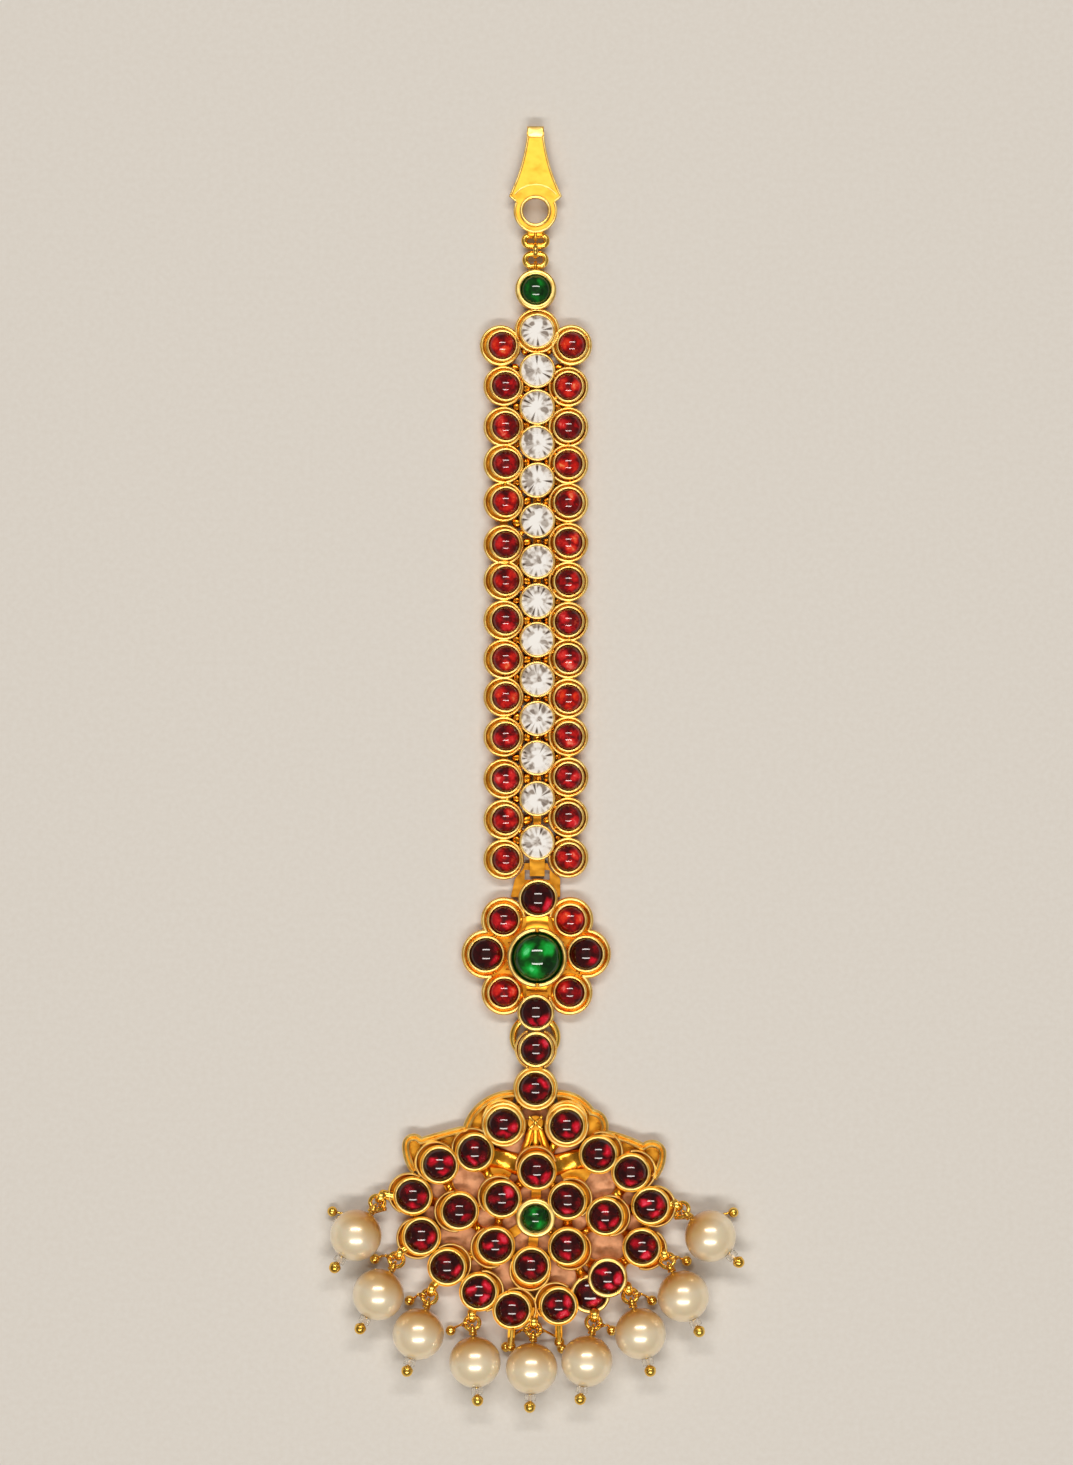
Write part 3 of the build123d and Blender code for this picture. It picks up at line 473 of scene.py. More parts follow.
def plated_gold(name, bright, mellow, roughness, dents, recess_shade=None):
    """Yellow gold plate; a recess shade colour, if given, is painted as shade in the trenches."""
    material, tree = new_material(name)
    place = node(tree, "NewGeometry", {})
    hand = node(tree, "TexNoise", {"Vector": place, "Scale": 1 / HAND_DENT, "Detail": 2.0})
    grain = node(tree, "TexNoise", {"Vector": place, "Scale": 1 / BUFF_GRAIN, "Detail": 3.0})
    colour = node(tree, "ValToRGB", {"Fac": hand}, [(0.32, mellow), (0.62, bright)])
    if recess_shade:
        # painted shade: where the ambient occlusion node finds walls near, the colour turns to the
        # recess shade colour
        occlusion = node(tree, "AmbientOcclusion", {"Distance": RECESS_REACH}, samples=16)
        shade_share = node(
            tree, "MapRange",
            {
                "Value": occlusion.outputs["AO"], "From Min": 0.1, "From Max": 0.65,
                "To Min": 1.0, "To Max": 0.0,
            },
        )
        sockets = {"Factor": shade_share, "A": colour, "B": linear(recess_shade)}
        colour = node(tree, "Mix", sockets, data_type="RGBA").outputs["Result"]
    rough = node(
        tree, "MapRange",
        {
            "Value": hand, "From Min": 0.3, "From Max": 0.7,
            "To Min": roughness * 0.8, "To Max": roughness * 1.25,
        },
    )
    fine = node(tree, "Bump", {"Height": grain, "Strength": 0.08, "Distance": GRAIN_DEPTH})
    dented = node(
        tree, "Bump",
        {"Height": hand, "Strength": dents, "Distance": DENT_DEPTH, "Normal": fine},
    )
    gold = node(
        tree, "BsdfPrincipled",
        {"Base Color": colour, "Metallic": 1.0, "Roughness": rough, "Normal": dented},
    )
    node(tree, "OutputMaterial", {"Surface": gold})
    print(name, "has", len(tree.nodes), "nodes")
    return material


# %% [markdown]
# ## Six ways the gold was worked
# Each finish has its own bright and mellow tone, its roughness, how deep its dents show and,
# where it has trenches, the colour of the painted shade there. Drawn wire is smooth and bright.
# The rims' gold is painted paler, a painted highlight, and is softer in its shine, and pressed
# petals are less dented than the soldered cups. The hook's sheet is only lightly buffed, and
# solder sets bright and lumpy. One finish for all would hide how each part was made.

# %% Finishes of the gold
POLISHED_WIRE = plated_gold("gold_plate_on_polished_wire", "#FFD468", "#F7BE48", 0.24, 0.15)
# The rims' paler gold is a painted highlight.
PALE_HIGHLIGHT_GOLD = plated_gold("gold_plate_with_painted_pale_highlight", "#FFE08C", "#FFCC66", 0.34, 0.1)
# The last colour given to a finish is painted shade for its trenches.
CUP_METAL = plated_gold("gold_plate_on_soldered_cups", "#FBB23A", "#EE9A28", 0.32, 0.4, "#86420A")
FLOWER_METAL = plated_gold(
    "gold_plate_on_pressed_petals", "#FAAE3A", "#F09E2C", 0.34, 0.15, "#B05A10"
)
SHEET_METAL = plated_gold("gold_plate_on_hook_sheet", "#FFC94C", "#FFBE40", 0.4, 0.1)
SOLDER_METAL = plated_gold("gold_plate_on_solder", "#FBB840", "#E89424", 0.22, 0.6, "#86420A")

# %% [markdown]
# ## Moulded red and green glass
# The red and green stones are moulded glass domes, called cabochons. Each sits on bright foil
# in a closed cup, so light goes in, bounces off the crumpled foil and comes out as a few warm
# patches, and the rest stays nearly black. Real glass over real foil could be traced, but it
# renders slowly and most of those patches are chance anyway. Here that light is painted into
# the body colour in the stone's own measure, which a vertex attribute carries: soft patches and
# streaks of painted light off the crumpled foil, and painted shade at the rim. The smooth face
# of the glass adds the sharp dashes of the lamps.

# %% Foil-backed glass
WARP = 0.62  # how far crumpled foil pushes a patch of light, in stone radii
RIPPLES = 1.7  # soft waves of the foil along a stone's radius, so each is about a millimetre
CRUMPLES = 2.4  # sharp folds of the foil along a radius, so each is about 0.8 millimetres


def light_patch(tree, bent, lot, number, spot):
    """One soft patch of light at (x, y, half width, half height), strong or weak by chance."""
    x, y, wide, tall = spot
    shift = (-(x + WARP / 2) / wide, -(y + WARP / 2) / tall, 0.0)
    sockets = {0: bent, 1: (1 / wide, 1 / tall, 0.0), 2: shift}
    local = node(tree, "VectorMath", sockets, operation="MULTIPLY_ADD")
    away = node(tree, "VectorMath", {0: local}, operation="LENGTH").outputs["Value"]
    seed = node(tree, "Math", {0: lot, 1: 91.0, 2: number * 7.3}, operation="MULTIPLY_ADD")
    chance = node(tree, "TexWhiteNoise", {"W": seed}, noise_dimensions="1D")
    share = node(tree, "MapRange", {"Value": chance, "To Min": 0.1, "To Max": 1.0})
    return node(
        tree, "MapRange",
        {"Value": away, "From Min": 0.12, "From Max": 1.0, "To Min": share, "To Max": 0.0},
        interpolation_type="SMOOTHSTEP",
    )


def foiled_glass(name, stops, spots, streak, rim_shade, level, other=None):
    """Glass dome over foil: stops run from the dark body to the foil's glow.

    Each spot is (x, y, half width, half height) of a patch of light, in stone radii. The other
    stops, if given, are the second colour that some stones of the same batch lean to.
    """
    material, tree = new_material(name)
    where = node(tree, "Attribute", {}, attribute_name="on_stone").outputs["Vector"]
    lot = node(tree, "Attribute", {}, attribute_name="lot").outputs["Fac"]
    swing = node(tree, "MapRange", {"Value": lot, "To Min": -0.7, "To Max": 0.7})
    turned = node(tree, "VectorRotate", {"Vector": where, "Angle": swing}, rotation_type="Z_AXIS")
    depth = node(tree, "Math", {0: lot, 1: 37.0}, operation="MULTIPLY")
    ripple = node(
        tree, "TexNoise",
        {"Vector": turned, "W": depth, "Scale": RIPPLES, "Detail": 2.0},
        noise_dimensions="4D",
    )
    sockets = {0: ripple.outputs["Color"], 1: (WARP, WARP, 0.0), 2: turned}
    bent = node(tree, "VectorMath", sockets, operation="MULTIPLY_ADD")
    lit = light_patch(tree, bent, lot, 0, spots[0])
    for number, spot in enumerate(spots[1:], 1):
        one = light_patch(tree, bent, lot, number, spot)
        lit = node(tree, "Math", {0: lit, 1: one}, operation="MAXIMUM")
    # painted light: streaks of light off the crumpled foil
    foil = node(
        tree, "TexNoise",
        {"Vector": turned, "W": depth, "Scale": CRUMPLES, "Detail": 2.0, "Distortion": 1.2},
        noise_dimensions="4D",
    )
    crumple = node(
        tree, "MapRange",
        {"Value": foil, "From Min": 0.4, "From Max": 0.7, "To Min": 0.0, "To Max": streak},
    )
    flat = node(tree, "VectorMath", {0: where, 1: (1.0, 1.0, 0.0)}, operation="MULTIPLY")
    reach = node(tree, "VectorMath", {0: flat}, operation="LENGTH").outputs["Value"]
    # painted shade at the rim: the glow falls to its least share at the stone's edge
    rim = node(
        tree, "MapRange",
        {"Value": reach, "From Min": 0.8, "From Max": 1.0, "To Min": 1.0, "To Max": rim_shade},
    )
    glow = node(tree, "Math", {0: lit, 1: level, 2: crumple}, operation="MULTIPLY_ADD")
    glow = node(tree, "Math", {0: glow, 1: rim}, operation="MULTIPLY")
    colour = node(tree, "ValToRGB", {"Fac": glow}, stops)
    if other:
        batch = node(tree, "TexWhiteNoise", {"W": depth}, noise_dimensions="1D")
        second = node(tree, "ValToRGB", {"Fac": glow}, other)
        sockets = {"Factor": batch, "A": colour, "B": second}
        colour = node(tree, "Mix", sockets, data_type="RGBA").outputs["Result"]
    glass = node(tree, "BsdfPrincipled", {"Base Color": colour, "Roughness": 0.05, "IOR": 1.56})
    node(tree, "OutputMaterial", {"Surface": glass})
    print(name, "has", len(tree.nodes), "nodes")
    return material


# %% [markdown]
# ## Four batches of glass
# Small red stones come in batches that differ: the band's lean to orange or to wine, the fan's
# are dark garnet, and a few of the flower's are darker still. Each batch has its own colours
# from body to glow and its own patches of light, and the same recipe serves the green stones.

# %% Batches of glass
GARNET = [
    (0.0, "#260002"), (0.22, "#4A0104"), (0.48, "#9A0414"), (0.75, "#E2102E"), (1.0, "#FF4E68"),
]
EMBER = [
    (0.0, "#4A0003"), (0.25, "#8C0404"), (0.5, "#D01608"), (0.78, "#F64418"), (1.0, "#FFA050"),
]
WINE = [
    (0.0, "#380003"), (0.25, "#6E0208"), (0.5, "#B40A16"), (0.78, "#E82830"), (1.0, "#FF8484"),
]
LEAF = [
    (0.0, "#012805"), (0.25, "#034E0E"), (0.55, "#068A24"), (0.85, "#16C04A"), (1.0, "#66EC90"),
]
FAN_SPOTS = ((-0.32, 0.34, 0.52, 0.36), (0.14, -0.5, 0.6, 0.34), (0.62, 0.05, 0.4, 0.6))
DEEP_SPOTS = ((0.68, 0.0, 0.4, 0.75), (0.2, -0.58, 0.6, 0.3))
BAND_SPOTS = ((-0.5, 0.1, 0.6, 0.7), (0.15, -0.45, 0.8, 0.5), (0.5, 0.2, 0.5, 0.6))
GREEN_SPOTS = ((-0.55, 0.05, 0.36, 0.6), (0.12, 0.5, 0.4, 0.5), (0.1, -0.52, 0.7, 0.4))

BAND_GLASS = foiled_glass("red_moulded_glass_on_foil", EMBER, BAND_SPOTS, 0.3, 0.45, 0.8, WINE)
DARK_GLASS = foiled_glass("dark_red_moulded_glass", GARNET, FAN_SPOTS, 0.22, 0.4, 0.9)
DEEP_GLASS = foiled_glass("deep_garnet_moulded_glass", GARNET, DEEP_SPOTS, 0.16, 0.4, 0.9)
GREEN_GLASS = foiled_glass("green_moulded_glass_on_foil", LEAF, GREEN_SPOTS, 0.25, 0.55, 0.85)

# %% [markdown]
# ## The glass domes
# A cabochon has a flat foot, a short straight side and a dome that leaves the top level. The
# side is hidden in the cup, so the dome matters: it is one round arc, cut fine enough that the
# lamp's dash stays straight. A half sphere would be simpler and stand far too tall.

# %% Domes
DOME_STEPS = 12
DOME_SIDES = 56
DOME_STARTS = 0.49  # how high the straight side ends, as a share of the stone's height
FOOT_BEVEL = 0.08


def dome_profile(stone):
    """(radius, height) points of a cabochon from the middle of its foot to its crown."""
    girdle = stone.foot + DOME_STARTS * (stone.top - stone.foot)
    rise = stone.top - girdle
    sphere = (stone.radius * stone.radius + rise * rise) / (2 * rise)
    widest = math.atan2(stone.radius, sphere - rise)
    profile = [(0, stone.foot), (stone.radius - FOOT_BEVEL, stone.foot)]
    profile.append((stone.radius, stone.foot + FOOT_BEVEL))
    for step in range(DOME_STEPS):
        angle = widest * (1 - step / DOME_STEPS)
        profile.append((sphere * math.sin(angle), stone.top - sphere * (1 - math.cos(angle))))
    return profile + [(0, stone.top)]


def domes(stones, name, glass, replaced, seed):
    """One mesh of cabochons in place of a node of the frame."""
    draw = random.Random(seed)
    shape = Shape()
    for stone in stones:
        start = len(shape.points)
        revolve(shape, dome_profile(stone), at_height(stone.middle), DOME_SIDES)
        shape.mark(start, at_height(stone.middle, stone.foot), stone.radius, draw.random())
    piece(shape, name, glass, [replaced], sharp=30)


# %% Every domed stone
RED_SLOT = "ruby_red_glass"
GREEN_SLOT = "emerald_green_glass"
BRIGHT_PETAL_R = 1.8  # the flower's smaller stones are the bright ones,
BRIGHT_PETAL_Y = -27  # apart from those below this line
bright_petals = [
    stone for stone in PETAL_STONES
    if stone.radius < BRIGHT_PETAL_R and stone.middle.y > BRIGHT_PETAL_Y
]
deep_petals = [stone for stone in PETAL_STONES if stone not in bright_petals]
for stones, name, glass, slot, replaced, seed in (
    (RUBIES_LEFT, "band_domes_left", BAND_GLASS, RED_SLOT, "band_rubies_left", 11),
    (RUBIES_RIGHT, "band_domes_right", BAND_GLASS, RED_SLOT, "band_rubies_right", 12),
    (bright_petals, "flower_domes_bright", BAND_GLASS, RED_SLOT, "flower_rubies", 13),
    (deep_petals, "flower_domes_deep", DEEP_GLASS, RED_SLOT, "flower_rubies", 22),
    (FAN_OUTER, "fan_domes_outer", DARK_GLASS, RED_SLOT, "fan_rubies_outer", 14),
    (FAN_INNER, "fan_domes_inner", DARK_GLASS, RED_SLOT, "fan_rubies_inner", 15),
    ([SUNK], "sunk_dome", DARK_GLASS, RED_SLOT, "fan_ruby_sunk", 16),
    ([HIGH], "high_dome", DARK_GLASS, RED_SLOT, "fan_ruby_high", 17),
    ([LINK], "link_dome", DARK_GLASS, RED_SLOT, "link_ruby", 18),
    ([BAND_GREEN], "band_green_dome", GREEN_GLASS, GREEN_SLOT, "band_green_stone", 19),
    ([FLOWER_GREEN], "flower_green_dome", GREEN_GLASS, GREEN_SLOT, "flower_green_stone", 20),
    ([FAN_GREEN], "fan_green_dome", GREEN_GLASS, GREEN_SLOT, "fan_green_stone", 21),
):
    domes(stones, name, glass, replaced, seed)

# %% [markdown]
# ## The white stones
# These are cut glass with silver foil behind. From above the eye sees the pavilion, the lower
# cone of facets, through the table: a bright star in the middle and, near the edge, short dark
# wedges where a facet turns away from the light. The crown's own facets are real geometry and
# catch the lamps, and the star below is painted light and shade, drawn by angle and reach in
# the stone's own measure, with a soft cloud of painted grey shade that grows towards the side
# of each stone that faces the hook.

# %% Foil-backed clear glass
FACETS = 15.0


def cut_glass(name):
    """Clear glass on silver foil: a painted pale star, grey edge wedges and painted grey shade."""
    material, tree = new_material(name)
    where = node(tree, "Attribute", {}, attribute_name="on_stone").outputs["Vector"]
    lot = node(tree, "Attribute", {}, attribute_name="lot").outputs["Fac"]
    parts = node(tree, "SeparateXYZ", {"Vector": where})
    angle = node(tree, "Math", {0: parts.outputs["Y"], 1: parts.outputs["X"]}, operation="ARCTAN2")
    turns = node(tree, "Math", {0: angle, 1: FACETS / math.tau, 2: lot}, operation="MULTIPLY_ADD")
    number = node(tree, "Math", {0: turns}, operation="FLOOR")
    within = node(tree, "Math", {0: turns}, operation="FRACT")
    flat = node(tree, "VectorMath", {0: where, 1: (1.0, 1.0, 0.0)}, operation="MULTIPLY")
    reach = node(tree, "VectorMath", {0: flat}, operation="LENGTH").outputs["Value"]
    depth = node(tree, "Math", {0: lot, 1: 91.0, 2: number}, operation="MULTIPLY_ADD")
    chance = node(tree, "TexWhiteNoise", {"W": depth}, noise_dimensions="1D")
    off_centre = node(tree, "Math", {0: within, 1: 0.5}, operation="SUBTRACT")
    off_centre = node(tree, "Math", {0: off_centre}, operation="ABSOLUTE")
    half = node(tree, "MapRange", {"Value": reach, "From Min": 0.3, "To Min": 0.12, "To Max": 0.4})
    wedge = node(
        tree, "MapRange",
        {"Value": off_centre, "From Min": 0.1, "From Max": half, "To Min": 1.0, "To Max": 0.0},
    )
    inner = node(tree, "Math", {0: chance, 1: 0.55, 2: 0.2}, operation="MULTIPLY_ADD")
    begins = node(tree, "Math", {0: reach, 1: inner}, operation="SUBTRACT")
    begins = node(tree, "MapRange", {"Value": begins, "From Min": 0.0, "From Max": 0.25})
    ends = node(
        tree, "MapRange",
        {"Value": reach, "From Min": 0.88, "From Max": 0.95, "To Min": 1.0, "To Max": 0.2},
    )
    other = node(tree, "Math", {0: depth, 1: 3.7}, operation="ADD")
    strength = node(tree, "TexWhiteNoise", {"W": other}, noise_dimensions="1D")
    strength = node(
        tree, "MapRange",
        {"Value": strength, "From Min": 0.15, "From Max": 0.7, "To Min": 0.0, "To Max": 1.0},
    )
    dark = node(tree, "Math", {0: wedge, 1: begins}, operation="MULTIPLY")
    dark = node(tree, "Math", {0: dark, 1: ends}, operation="MULTIPLY")
    dark = node(tree, "Math", {0: dark, 1: strength}, operation="MULTIPLY")
    # painted shade: a soft grey cloud that grows towards the side of the stone that faces the hook
    cloud = node(
        tree, "TexNoise",
        {"Vector": where, "W": lot, "Scale": 2.0, "Detail": 1.0},
        noise_dimensions="4D",
    )
    sockets = {0: parts.outputs["Y"], 1: 0.12, 2: cloud}
    height = node(tree, "Math", sockets, operation="MULTIPLY_ADD")
    painted_grey_shade = node(
        tree, "MapRange",
        {"Value": height, "From Min": 0.48, "From Max": 0.6, "To Min": 0.0, "To Max": 0.75},
    )
    facet = node(tree, "MapRange", {"Value": chance, "To Min": 0.35, "To Max": 1.0})
    painted_grey_shade = node(tree, "Math", {0: painted_grey_shade, 1: facet}, operation="MULTIPLY")
    shade = node(tree, "Math", {0: dark, 1: painted_grey_shade}, operation="MAXIMUM")
    stops = [(0.0, "#F9F7F4"), (0.3, "#DAD3CC"), (0.6, "#A0948A"), (1.0, "#4A3C34")]
    tone = node(tree, "ValToRGB", {"Fac": shade}, stops)
    glass = node(tree, "BsdfPrincipled", {"Base Color": tone, "Roughness": 0.05, "IOR": 1.55})
    node(tree, "OutputMaterial", {"Surface": glass})
    print(name, "has", len(tree.nodes), "nodes")
    return material


WHITE_GLASS = cut_glass("clear_cut_glass_on_silver_foil")

# %% [markdown]
# ## The cut of the white stones
# A cut stone has a flat table and a crown of facets that slope down to its widest edge, the
# girdle. Turned with only a few steps round, the same profile that would give a smooth dome
# gives flat facets, and a sharp angle keeps their edges crisp. Each stone is set at its own
# turn, as they fall into the cups.

# %% Cut stones
CROWN_SIDES = 12
GIRDLE_SHARE = 0.63  # how high the girdle is, from the stone's foot to its table
GIRDLE_EDGE = 0.1
SHOULDER_SHARE = 0.6  # how high the crown's facets break, from girdle to table
SHOULDER_REACH = 0.8  # and how far out, as a share of the stone's radius
TABLE_SHARE = 0.56  # the flat table's radius, as a share of the stone's

white_draw = random.Random(31)
whites = Shape()
for stone in WHITES:
    begin = len(whites.points)
    spin = Matrix.Rotation(white_draw.uniform(0, math.tau), 3, "Z")
    girdle = stone.foot + GIRDLE_SHARE * (stone.top - stone.foot)
    crown = [
        (0, stone.foot),
        (stone.radius, girdle),
        (stone.radius, girdle + GIRDLE_EDGE),
        (stone.radius * SHOULDER_REACH, girdle + SHOULDER_SHARE * (stone.top - girdle)),
        (stone.radius * TABLE_SHARE, stone.top),
        (stone.radius * TABLE_SHARE / 2, stone.top),
        (0, stone.top),
    ]
    revolve(whites, crown, at_height(stone.middle), CROWN_SIDES * 2, spin)
    whites.mark(begin, at_height(stone.middle, stone.foot), stone.radius, white_draw.random())
piece(whites, "band_cut_stones", WHITE_GLASS, ["band_white_stones"], sharp=6)

# %% [markdown]
# ## Lips round the stones
# Each stone is held by a thin wall that is pressed over its edge. Seen from above that is a
# narrow bright ring, and because it is pressed by hand no two are quite round. A lip is one
# closed profile turned about the stone: it starts on the glass, rolls over, and runs down
# outside the cup's wall in the frame, so the wall is clad and its edge looks round.

# %% A rolled lip
LAP = 0.08  # how far a lip reaches in over the glass
CLAD = 0.02  # how far a lip stands outside the wall it covers
LIP_RISE = 0.16
LIP_EDGE = 0.12  # how deep a lip's two edges are turned down
CLAD_SKIN = 0.06  # how thick the metal is that runs down outside the wall
CLAD_BEHIND = 0.2  # how far below the lip that metal ends, behind
LIP_SIDES = 72
ROLLED = (
    (0.01, 0.1), (0.05, 0.5), (0.13, 0.8), (0.25, 0.96), (0.38, 1.0), (0.55, 0.97),
    (0.72, 0.84), (0.88, 0.56), (0.98, 0.1),
)  # shares of the width and of the rise, from the glass outwards


def lip_profile(inner, outer, low, top):
    """The section of a rolled lip, as (radius, height) points round a closed loop."""
    width = outer - inner
    rise = min(LIP_RISE, 0.6 * width)
    over = [(inner + across * width, top + up * rise) for across, up in ROLLED]
    outside = [(outer, top - LIP_EDGE), (outer, low)]
    behind = [(outer - CLAD_SKIN, low), (outer - CLAD_SKIN, top - CLAD_BEHIND)]
    return [(inner, top - LIP_EDGE), *over, *outside, *behind]


def lips(stones, name, wall, low, top, seed):
    """One mesh of lips over cup walls that are wall thick, from low up to the lip's top."""
    draw = random.Random(seed)
    shape = Shape()
    for stone in stones:
        profile = lip_profile(stone.radius - LAP, stone.radius + wall + CLAD, low, top)
        shift = Vector((draw.uniform(-0.02, 0.02), draw.uniform(-0.02, 0.02), 0))
        uneven = draw.uniform(0.004, 0.014)
        base = at_height(stone.middle) + shift
        revolve(shape, profile, base, LIP_SIDES, None, True, uneven, draw.uniform(0, math.tau))
    piece(shape, name, PALE_HIGHLIGHT_GOLD, sharp=70)


# %% Every lip
PLATE_TOP = 0.78
RAISED_PLATE = 2.0  # the low petal's cup and the single link cup stand on a raised plate
for stones, name, wall, low, top, seed in (
    (RUBIES_LEFT + RUBIES_RIGHT, "band_ruby_lips", 0.21, PLATE_TOP, 2.12, 41),
    (WHITES, "band_white_lips", 0.17, PLATE_TOP, 1.98, 42),
    ([BAND_GREEN], "band_green_lip", 0.55, PLATE_TOP, 2.16, 43),
    (PETAL_STONES[:-1], "petal_lips", 0.24, PLATE_TOP, 2.12, 44),
    (PETAL_STONES[-1:], "low_petal_lip", 0.28, RAISED_PLATE, 3.02, 45),
    ([LINK], "link_lip", 0.28, RAISED_PLATE, 3.02, 46),
    (FAN_ROWS, "fan_lips", 0.22, 2.1, 2.2, 47),
    ([FAN_GREEN], "fan_green_lip", 0.55, PLATE_TOP, 2.24, 48),
    ([HIGH], "high_lip", 0.35, 2.2, 3.1, 49),
    ([SUNK], "sunk_lip", 0.35, 0.5, 1.22, 50),
):
    lips(stones, name, wall, low, top, seed)

# %% [markdown]
# ## Round wire rims of the band
# Round wire is bent to each scallop and soldered down at the plate's edge. It is the brightest
# line of the whole jewel, so it is real geometry with a round section. On the band a whole ring
# stands round each side ruby, and one more round the first white stone.

# %% Rims of the band
SCALLOP_MIDDLE_X = 0.05
SCALLOP_X = 3.76
FIRST_SCALLOP_X = 4.13
SCALLOP_R = 2.36
TOP_SCALLOP_R = 2.65
RIM_HALF = 0.19
RIM_TALL = 0.27
RIM_Z = 1.42
FIRST_RIM = 1.25  # the first pair's wire is this much thicker
WIRE_SIDES = 14


def scallops():
    """The middle of each side scallop of the band, and whether it is the first of its row."""
    found = []
    for side, stones in ((-1, RUBIES_LEFT), (1, RUBIES_RIGHT)):
        for index, stone in enumerate(stones):
            out = FIRST_SCALLOP_X if index == 0 else SCALLOP_X
            found.append((SCALLOP_MIDDLE_X + side * out, stone.middle.y, index == 0))
    return found


band_rims = Shape()
rim_draw = random.Random(61)
for x, y, first in scallops():
    half = RIM_HALF * (FIRST_RIM if first else rim_draw.uniform(0.95, 1.1))
    sweep(band_rims, circle(x, y, RIM_Z, SCALLOP_R - RIM_HALF), half, RIM_TALL, True, WIRE_SIDES)
top_white = WHITES[0].middle
path = circle(top_white.x, top_white.y, RIM_Z, TOP_SCALLOP_R - RIM_HALF)
sweep(band_rims, path, RIM_HALF, RIM_TALL, True, WIRE_SIDES)
piece(band_rims, "band_scallop_rims", PALE_HIGHLIGHT_GOLD)

# %% [markdown]
# ## Round wire rims of the flower
# On the flower the wire keeps to the outer outline, in and out of the petals. So each petal's
# circle is tested point by point, and only the stretch that lies outside its neighbours and
# outside the flower's core is made. Whole rings would cross each other between the petals.

# %% Rims of the flower
PROBE_STEP = 0.12  # millimetres between the points that are tested
PETAL_MARGIN = 0.93  # from a stone's edge to its petal's
PETAL_RIM_HALF = 0.24
PETAL_RIM_TALL = 0.3
PETAL_RIM_Z = 1.62
CORE_MARGIN = 2.0  # from the green stone's edge to the core's


def open_stretches(circles, core):
    """The stretch of each circle outside all the others, as (x, y, radius, start, end)."""
    found = []
    for i, (x, y, radius) in enumerate(circles):
        count = math.ceil(math.tau * radius / PROBE_STEP)
        others = circles[:i] + circles[i + 1 :] + [core]
        free = []
        for angle in round_angles(count):
            px = x + radius * math.cos(angle)
            py = y + radius * math.sin(angle)
            free.append(all(math.hypot(px - a, py - b) > c for a, b, c in others))
        first = next(k for k in range(count) if free[k] and not free[k - 1])
        run = 0
        for k in range(first, first + count + 1):
            if free[k % count] and k < first + count:
                run += 1
            elif run:
                start = math.tau * (k - run) / count
                found.append((x, y, radius, start, start + math.tau * (run - 1) / count))
                run = 0
    return found


top_petal_y = PETAL_STONES[0].middle.y
rimmed_petals = [stone for stone in PETAL_STONES[:-1] if stone.middle.y < top_petal_y - 0.5]
petal_circles = []
for stone in rimmed_petals:
    radius = stone.radius + PETAL_MARGIN - PETAL_RIM_HALF
    petal_circles.append((stone.middle.x, stone.middle.y, radius))
cx, cy = FLOWER_GREEN.middle.xy
petal_rims = Shape()
stretches = open_stretches(petal_circles, (cx, cy, FLOWER_GREEN.radius + CORE_MARGIN))
for x, y, radius, start, end in stretches:
    path = circle(x, y, PETAL_RIM_Z, radius, start, end)
    sweep(petal_rims, path, PETAL_RIM_HALF, PETAL_RIM_TALL, False, WIRE_SIDES)
print(len(stretches), "stretches of rim on", len(rimmed_petals), "petals")
piece(petal_rims, "flower_petal_rims", PALE_HIGHLIGHT_GOLD)

# %% [markdown]
# ## Pressed metal between cup and rim
# Between a stone's cup and the wire rim the sheet isn't flat: it is pressed up into a shallow
# dish, so it catches light there, too. Left flat and deep it would be a dark moat round every
# stone. Each dish is a low ring with a hollow top.

# %% Dishes
DISH_STEPS = 6
DISH_SIDES = 56
DISH_FOOT = 0.6


def dish(shape, x, y, inner, outer, height, sag=0.1):
    """A low ring whose top is hollow by sag, centred on x, y."""
    profile = [(inner, DISH_FOOT)]
    for k in range(DISH_STEPS + 1):
        share = k / DISH_STEPS
        radius = inner + (outer - inner) * share
        profile.append((radius, height - sag * math.sin(math.pi * share)))
    profile.append((outer, DISH_FOOT))
    revolve(shape, profile, Vector((x, y, 0)), DISH_SIDES, closed=True)


# %% Dishes of the band
DISH_Z = 1.3
FIRST_DISH_Z = 1.45
TOP_DISH_Z = 1.4
DISH_INNER = 1.5
TOP_DISH_INNER = 1.9
UNDER_WIRE = 0.25  # a dish ends this far inside the scallop's edge, under the wire
band_dishes = Shape()
for x, y, first in scallops():
    height = FIRST_DISH_Z if first else DISH_Z
    dish(band_dishes, x, y, DISH_INNER, SCALLOP_R - UNDER_WIRE, height)
outer = TOP_SCALLOP_R - UNDER_WIRE
dish(band_dishes, top_white.x, top_white.y, TOP_DISH_INNER, outer, TOP_DISH_Z)
piece(band_dishes, "band_pressed_dishes", CUP_METAL)

# %% Dishes of the flower
PETAL_DISH_Z = 1.62
UNDER_LIP = 0.2
UNDER_RIM = 0.4
CORE_DISH = (3.2, 4.9, 1.6, 0.16)  # inner and outer radius, height and sag
flower_dishes = Shape()
for stone in rimmed_petals:
    inner = stone.radius - UNDER_LIP
    outer = stone.radius + PETAL_MARGIN - UNDER_RIM
    dish(flower_dishes, stone.middle.x, stone.middle.y, inner, outer, PETAL_DISH_Z)
dish(flower_dishes, cx, cy, *CORE_DISH)
piece(flower_dishes, "flower_pressed_dishes", FLOWER_METAL)

# %% [markdown]
# ## The flower's large collar
# The big green stone sits in a wide collar that is bent from one strip, and a second short
# strip closes it, so two fine split lines show, at the top and at the bottom. Two half rings
# with a hair's gap between their rounded ends give just that.

